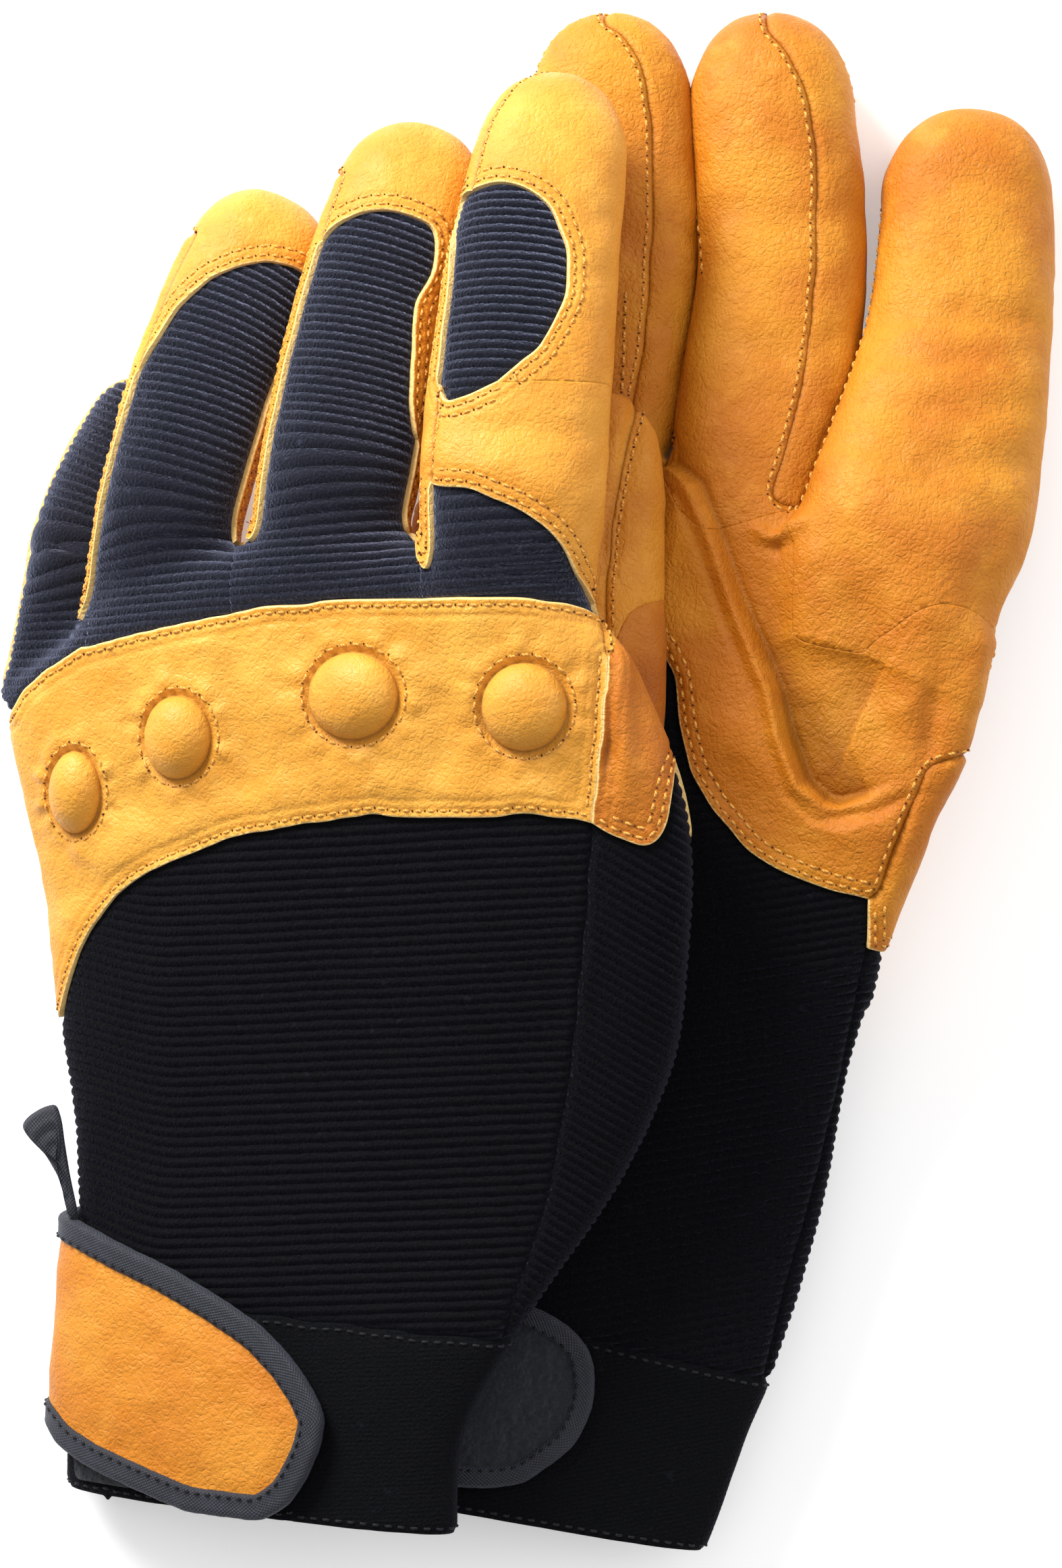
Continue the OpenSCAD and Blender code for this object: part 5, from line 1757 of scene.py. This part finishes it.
def attach(o, side, name):
    """Give a piece its body: the right glove's index and middle pieces and the straps are baked in place without one,
    the rest rides its glove.
    """
    f = finger_of(side, name)
    if f:
        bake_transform(o)
    elif name.startswith("strap_"):
        if side == "left":
            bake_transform(o)
        else:
            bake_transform(o)
    else:
        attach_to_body(o, side + "_glove")


THREADS = {}


def add_thread(key, P, T, N, **kw):
    THREADS.setdefault(key, []).append((P, T, N, kw))


for side in ("right", "left"):
    G, other = GL[side], GL["left" if side == "right" else "right"]
    objs, st, nb, whole = build_panels(side, G, other, mats)
    ALL[side] = objs
    trees = {}
    for name, L, N, gid in st:
        offs = (1.15, 2.85)
        P, T, NN = lay_rows(name, L, N, gid, nb, offs)
        if not len(P):
            continue
        if name not in trees:
            trees[name] = bvh_of([objs[name]])
        P, NN, ok = drop_on(trees[name], P, NN)
        f = finger_of(side, name)
        add_thread((side, f, "dark_thread" if name == "cuff" else "thread"), P, T[ok], NN)
        if name != "cuff":
            # painted shade of the needle holes: a short dark capsule beside each stitch
            add_thread((side, f, "holes"), P + unit(T[ok]) * 1.12 - NN * 0.12, T[ok], NN, length=0.42, r=0.22)
    for name, o in objs.items():
        attach(o, side, name)
    # domes on the knuckle band
    band = bvh_of([objs["knuckle_band"]])
    if side == "left":
        spots = [(P2([X, Y])[0], rx * 0.1186, ry * 0.1186, 4.4 if i else 4.0) for i, (X, Y, rx, ry) in enumerate(DOMES["left"])]
        down = -1
    else:
        spots = []
        for t, s, k in ((5.95, 0.8, .62), (6.4, .42, .82), (6.5, -.1, 1.05), (6.45, -.6, 1.0)):
            it = np.interp(t, G.hand.t, np.arange(len(G.hand.t)))
            C = np.array([np.interp(it, np.arange(len(G.hand.t)), G.hand.C[:, j]) for j in range(3)])
            W = np.array([np.interp(it, np.arange(len(G.hand.t)), G.hand.W[:, j]) for j in range(3)])
            hw = np.interp(it, np.arange(len(G.hand.t)), G.hand.hw)
            spots.append(((C + W * hw * -s)[:2], 6.5 * k ** 0.5, 7.0 * k ** 0.5, 2.4))
        down = 1
    dome_objs = []
    for i, (c, rx, ry, hgt) in enumerate(spots):
        nr, na = 26, 72
        Vd, r_, hh_ = [], [], []
        for k in range(nr + 1):
            r = 0.985 * k / nr
            for a in range(na):
                an = 2 * math.pi * a / na
                x, y = c[0] + rx * r * math.cos(an), c[1] + ry * r * math.sin(an)
                h = band.ray_cast(Vector((x / 1000, y / 1000, -0.15 * down)), Vector((0, 0, down)), 0.4)
                if h[0] is None:
                    h = band.find_nearest(Vector((x / 1000, y / 1000, 0.03)))
                Vd.append(np.array(h[0]) * 1000)
                r_.append(r)
        Vd = np.array(Vd)
        r_ = np.array(r_)
        # even out the leather's own wrinkles below the pad
        A = np.c_[Vd[:, 0] - c[0], Vd[:, 1] - c[1], (Vd[:, 0] - c[0]) ** 2, (Vd[:, 1] - c[1]) ** 2, (Vd[:, 0] - c[0]) * (Vd[:, 1] - c[1]), np.ones(len(Vd))]
        co, *_r = np.linalg.lstsq(A, Vd[:, 2], rcond=None)
        fit = A @ co
        nz = unit(np.array([-co[0], -co[1], 1.0])) * (-down)
        w = smoothstep(0.8, 1.0, r_)
        base = Vd.copy()
        base[:, 2] = fit * (1 - w) + Vd[:, 2] * w
        up = hgt * np.clip(1 - r_ ** 2.3, 0, 1) ** 0.62
        an = np.tile(2 * math.pi * np.arange(na) / na, nr + 1)
        up = up + 0.16 * noise(base, 7, 20 + i) * smoothstep(1, 0.5, r_) + 0.1 * np.sin(an * 13 + i) * bell(r_ - 0.93, 0.07) + 0.05 * np.sin(an * 21 + 2 * i) * bell(r_ - 0.9, 0.1)
        top = base + nz * (up[:, None] + 0.02)
        bot = base - nz * 0.7
        if side == "right":
            top[:, 2] = np.maximum(top[:, 2], 0.03)
            bot[:, 2] = np.maximum(bot[:, 2], top[:, 2] + 0.4)
        q = []
        for k in range(nr):
            ii = np.arange(na)
            jj = (ii + 1) % na
            q.append(np.stack([k * na + ii, (k + 1) * na + ii, (k + 1) * na + jj, k * na + jj], 1))
        q = np.vstack(q)
        n2 = len(top)
        ii = np.arange(na) + nr * na
        jj = (np.arange(na) + 1) % na + nr * na
        rim = np.stack([ii, ii + n2, jj + n2, jj], 1)
        F = np.vstack([q, q[:, ::-1] + n2, rim])
        VV = np.vstack([top, bot])
        if down > 0:
            F = F[:, ::-1]
        # painted shade: a dark ring at the rim of each pad
        o = make("%s_knuckle_pad_%d" % (side, i + 1), VV, F, MAT["leather_back"], None,
                 {"edge": np.full(len(VV), 5.0), "rib": np.zeros(len(VV)), "painted_shade": np.r_[smoothstep(0.93, 1.0, r_) * 0.5, np.zeros(n2)]})
        weld(o)
        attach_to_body(o, side + "_glove")
        if i == 0:
            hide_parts(side + "_knuckle_pads")
        dome_objs.append(o)
        # the ring of stitches round it
        an = np.arange(0, 2 * math.pi, 2.2 / (0.5 * (rx + ry) + 1.0))
        P, T, NN = [], [], []
        for a in an:
            x, y = c[0] + (rx + 1.25) * math.cos(a), c[1] + (ry + 1.25) * math.sin(a)
            h = band.ray_cast(Vector((x / 1000, y / 1000, -0.15 * down)), Vector((0, 0, down)), 0.4)
            if h[0] is None:
                continue
            n = np.array(h[1])
            if n[2] * -down < 0:
                n = -n
            P.append(np.array(h[0]) * 1000); NN.append(n)
            T.append([-(rx + 1.25) * math.sin(a), (ry + 1.25) * math.cos(a), 0])
        if P:
            P, T, NN = np.array(P), np.array(T), np.array(NN)
            T = T - NN * (T * NN).sum(1)[:, None]
            add_thread((side, None, "thread"), P + NN * 0.02, T, NN)
            # painted shade of the needle holes: a short dark capsule beside each stitch
            add_thread((side, None, "holes"), P + unit(T) * 1.1 - NN * 0.12, T, NN, length=0.42, r=0.22)

    # strap, hook patch and palm pad
    th, s = arc_table(G, side)
    q0 = G.hand.q[0]
    gs = lambda deg: np.interp(math.radians(deg), th, s)

    def rounded(th0, th1, qa, qb, r, sgn):
        """A flap: square at th0, round at th1."""
        a, b = gs(th0), gs(th1)
        d = np.sign(b - a)
        pts = [[a, qa], [b - d * r, qa]]
        for k in range(1, 16):
            x = -math.pi / 2 + math.pi * k / 16
            pts.append([b - d * r + d * r * math.cos(x), (qa + qb) / 2 + (qb - qa) / 2 * math.sin(x)])
        pts += [[b - d * r, qb], [a, qb]]
        return smooth_closed(np.array(pts, float), 0.7, 4), [[a + d * 4, (qa + qb) / 2], [b - d * r, (qa + qb) / 2]]

    if side == "left":
        XY = P2("103 1816 176 1851 251 1881 326 1921 392 1961 437 2007 467 2052 484 2092 477 2137 457 2182 432 2222 392 2253 341 2253 281 2238 201 2212 126 2182 75 2152 54 2127".split())
        D = to_domain(G, side, XY, 2.6)
        tail = gs(203)
        D = np.vstack([[[tail, D[0, 1] + 2.0]], D, [[tail, D[-1, 1] + 1.0]]])
        C = smooth_closed(D, 0.7, 6)
        mid = [[tail - 5, C[:, 1].mean()], [gs(84), D[8, 1] + 1.0]]
        pad = rounded(196, 262, q0 + 4.0, q0 + 36.0, 13, 1)
        hook = rounded(150, 96, q0 + 2.5, q0 + 36.0, 5, 1)
        strap_off = 2.3
    else:
        C, mid = rounded(170, 256, q0 + 4.0, q0 + 35.0, 14, 1)
        XY = P2("640 1940 700 1925 760 1935 806 1955 838 1972 861 1998 875 2029 878 2061 869 2101 844 2147 809 2176 772 2199 729 2207 700 2207 640 2200".split())
        D = to_domain(G, side, XY, 1.6)
        left = gs(168)
        D = np.vstack([[[left, D[0, 1] - 1]], D, [[left, D[-1, 1] + 1]]])
        pc = smooth_closed(D, 0.7, 5)
        pad = (pc, [[left - 4, pc[:, 1].mean()], [np.median(D[6:10, 0]) + 10, pc[:, 1].mean()]])
        hook = rounded(210, 252, q0 + 3.5, q0 + 35.0, 6, 1)
        strap_off = 1.5
    obs = []
    o = sheet_piece(side + "_hook_patch", G, side, hook[0], hook[1], 0.35, 0.7, MAT["loop"], rings=40, pile=0.22, edge_mm=5.0)
    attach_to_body(o, side + "_glove"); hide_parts(side + "_hook_patch")
    o = sheet_piece(side + "_palm_pad", G, side, pad[0], pad[1], 0.45, 1.15, MAT["loop"], rings=44, pile=0.3, edge_mm=5.0, rough=0.25)
    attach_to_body(o, side + "_glove"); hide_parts(side + "_palm_pad")
    Ci = inset(pad[0], 1.2)
    P, N = lay(G, side, Ci, 1.15)
    o, B, T = sweep_binding(side + "_palm_pad_binding", P, N, 1.95, 1.15, MAT["tape"])
    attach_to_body(o, side + "_glove"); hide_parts(side + "_palm_pad_binding")
    Ps, Ns = lay(G, side, inset(pad[0], 2.5), 1.15)
    Rs, ss_, dd_ = resample(Ps, 1.9)
    Nr = np.stack([np.interp(ss_, dd_, np.r_[Ns[:, j], Ns[0, j]]) for j in range(3)], 1)
    add_thread((side, None, "dark_thread"), Rs + Nr * 1.12, unit(np.gradient(Rs, axis=0)), Nr, length=1.2, r=0.2)
    thin = 1.0 if side == "left" else 0.75
    o = sheet_piece(side + "_strap_backing", G, side, inset(C, 1.0), mid, strap_off - 0.9 * thin, 0.85 * thin, MAT["back"], rings=20, edge_mm=5.0)
    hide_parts(side + "_strap_backing"); attach(o, side, "strap_backing")
    Cf = inset(C, 3.6)
    o = sheet_piece(side + "_strap_face", G, side, Cf, mid, strap_off, 0.85 * thin, MAT["leather_strap"], rings=44, crown=0.5 * thin, rough=0.35, edge_mm=5.0)
    face = bvh_of([o])
    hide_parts(side + "_strap_face"); attach(o, side, "strap_face")
    P, N = lay(G, side, inset(C, 2.2), strap_off + 0.15)
    o, B, T = sweep_binding(side + "_strap_binding", P, N, 2.35, 1.5 * thin, MAT["tape"])
    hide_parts(side + "_strap_binding"); attach(o, side, "strap_binding")
    Ps, Ns = lay(G, side, inset(C, 3.6), strap_off + 0.15)
    Rs, ss_, dd_ = resample(Ps, 2.0)
    Nr = np.stack([np.interp(ss_, dd_, np.r_[Ns[:, j], Ns[0, j]]) for j in range(3)], 1)
    add_thread((side, "strap", "dark_thread"), Rs + Nr * 1.42 * thin, unit(np.gradient(Rs, axis=0)), Nr, length=1.3, r=0.22)
    # pull tab: a loop of tape folded flat
    lo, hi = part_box(side + "_pull_tab")
    lo, hi = np.array(lo) * 1000, np.array(hi) * 1000
    if side == "left":
        tip, wide = P2([26, 1668])[0], P2([96, 1790])[0]
        pts = P2("20 1676 30 1662 52 1648 74 1642 82 1668 86 1700 94 1750 106 1806 102 1824 92 1818 88 1790 76 1752 56 1718 30 1692".split())
    else:
        pts = np.array([[0, .5], [.1, .9], [.5, 1], [.95, .95], [1, .5], [.95, .05], [.5, 0], [.1, .1]]) * (hi - lo)[:2] + lo[:2]
    C2 = smooth_closed(pts, 0.6, 3)
    ctr = C2.mean(0)
    zc = (lo[2] + hi[2]) / 2
    hz = max(0.9, min(1.5, (hi[2] - lo[2]) / 2))
    rings, n = 12, len(C2)
    Vt, dt = [], []
    for k in range(rings + 1):
        r = k / rings
        X = C2 * (1 - r) + ctr * r
        dist = np.linalg.norm(C2 - X, axis=1)
        z = hz * np.sqrt(np.clip(dist / 1.2, 0, 1)) * (0.8 + 0.2 * np.cos(dist * 2.2))
        Vt.append(np.c_[X, z]); dt.append(dist)
    Vt, dt = np.vstack(Vt), np.concatenate(dt)
    topv = np.c_[Vt[:, :2], zc + Vt[:, 2]]
    botv = np.c_[Vt[:, :2], zc - Vt[:, 2]]
    q = []
    for k in range(rings):
        ii = np.arange(n); jj = (ii + 1) % n
        q.append(np.stack([k * n + ii, k * n + jj, (k + 1) * n + jj, (k + 1) * n + ii], 1))
    q = np.vstack(q)
    V2 = np.vstack([topv, botv]); F = np.vstack([q, q[:, ::-1] + len(topv)])
    o = make(side + "_pull_tab", V2, F, MAT["tape"], None, {"rib": np.tile(Vt[:, 1], 2), "across": np.tile(Vt[:, 0], 2), "edge": np.full(len(V2), 5.0), "painted_shade": np.zeros(len(V2))})
    weld(o)
    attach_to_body(o, side + "_glove"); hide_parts(side + "_pull_tab")

for (side, f, kind), parts in THREADS.items():
    Vs, Fs, off = [], [], 0
    for P, T, N, kw in parts:
        if not len(P):
            continue
        v, fc = capsules(P, T, N, **kw)
        v[:, 2] = np.maximum(v[:, 2], 0.02)
        Vs.append(v); Fs.append(fc + off); off += len(v)
    if not Vs:
        continue
    V, F = np.vstack(Vs), np.vstack(Fs)
    nm = "_".join(x for x in (side, f, kind) if x)
    o = make(nm, V, F, MAT[kind], None)
    attach(o, side, {"index": "index_x", "middle": "middle_x", "strap": "strap_x", None: "x"}[f])
    print(nm, len(F))

# ---------------------------------------------------------------- floor, light, camera
def flat(name, size, z):
    me = bpy.data.meshes.new(name)
    me.from_pydata([(-size, -size, z), (size, -size, z), (size, size, z), (-size, size, z)], [], [(0, 1, 2, 3)])
    o = bpy.data.objects.new(name, me)
    bpy.context.scene.collection.objects.link(o)
    return o


floor = flat("floor", 3.0, -0.0004)
fm = bpy.data.materials.new("floor_white_glowing")
fm.use_nodes = True
fb = fm.node_tree.nodes["Principled BSDF"]
fb.inputs["Base Color"].default_value = (0.93, 0.93, 0.93, 1)
fb.inputs["Roughness"].default_value = 0.9
# painted light: the floor glows a little to lift the cast shadows on it
fb.inputs["Emission Color"].default_value = (1, 1, 1, 1)
fb.inputs["Emission Strength"].default_value = 0.3
floor.data.materials.append(fm)


def area(name, loc, target, size, power, colour=(1, 1, 1), size_y=None):
    L = bpy.data.lights.new(name, "AREA")
    L.size = size
    if size_y:
        L.shape = "RECTANGLE"
        L.size_y = size_y
    L.energy = power
    L.color = colour
    o = bpy.data.objects.new(name, L)
    bpy.context.scene.collection.objects.link(o)
    o.location = loc
    o.rotation_euler = (Vector(target) - Vector(loc)).to_track_quat("-Z", "Y").to_euler()
    return o


area("key", (-0.42, 0.56, 0.40), (-0.03, 0.05, 0.03), 0.36, 9.5)
area("fill", (0.65, 0.25, 0.6), (0.03, 0.02, 0.02), 0.9, 4.0)
area("top", (-0.15, 0.25, 1.3), (0, 0, 0), 1.0, 3.2)
area("accent", (-0.24, 0.34, 0.24), (-0.03, 0.09, 0.03), 0.16, 0.75, (1.0, 0.96, 0.9))
w = bpy.data.worlds.new("world")
w.use_nodes = True
w.node_tree.nodes["Background"].inputs[0].default_value = (1, 1, 1, 1)
w.node_tree.nodes["Background"].inputs[1].default_value = 0.38
bpy.context.scene.world = w

cam = bpy.data.cameras.new("camera")
cam.sensor_fit = "VERTICAL"
cam.sensor_height = 36
cam.lens = 110
D = 0.1378 * 110 / 18
co = bpy.data.objects.new("camera", cam)
bpy.context.scene.collection.objects.link(co)
co.location = (0, 0, 0.025 + D)
co.rotation_euler = (0, 0, 0)
bpy.context.scene.camera = co
bpy.context.scene.view_settings.view_transform = "Standard"
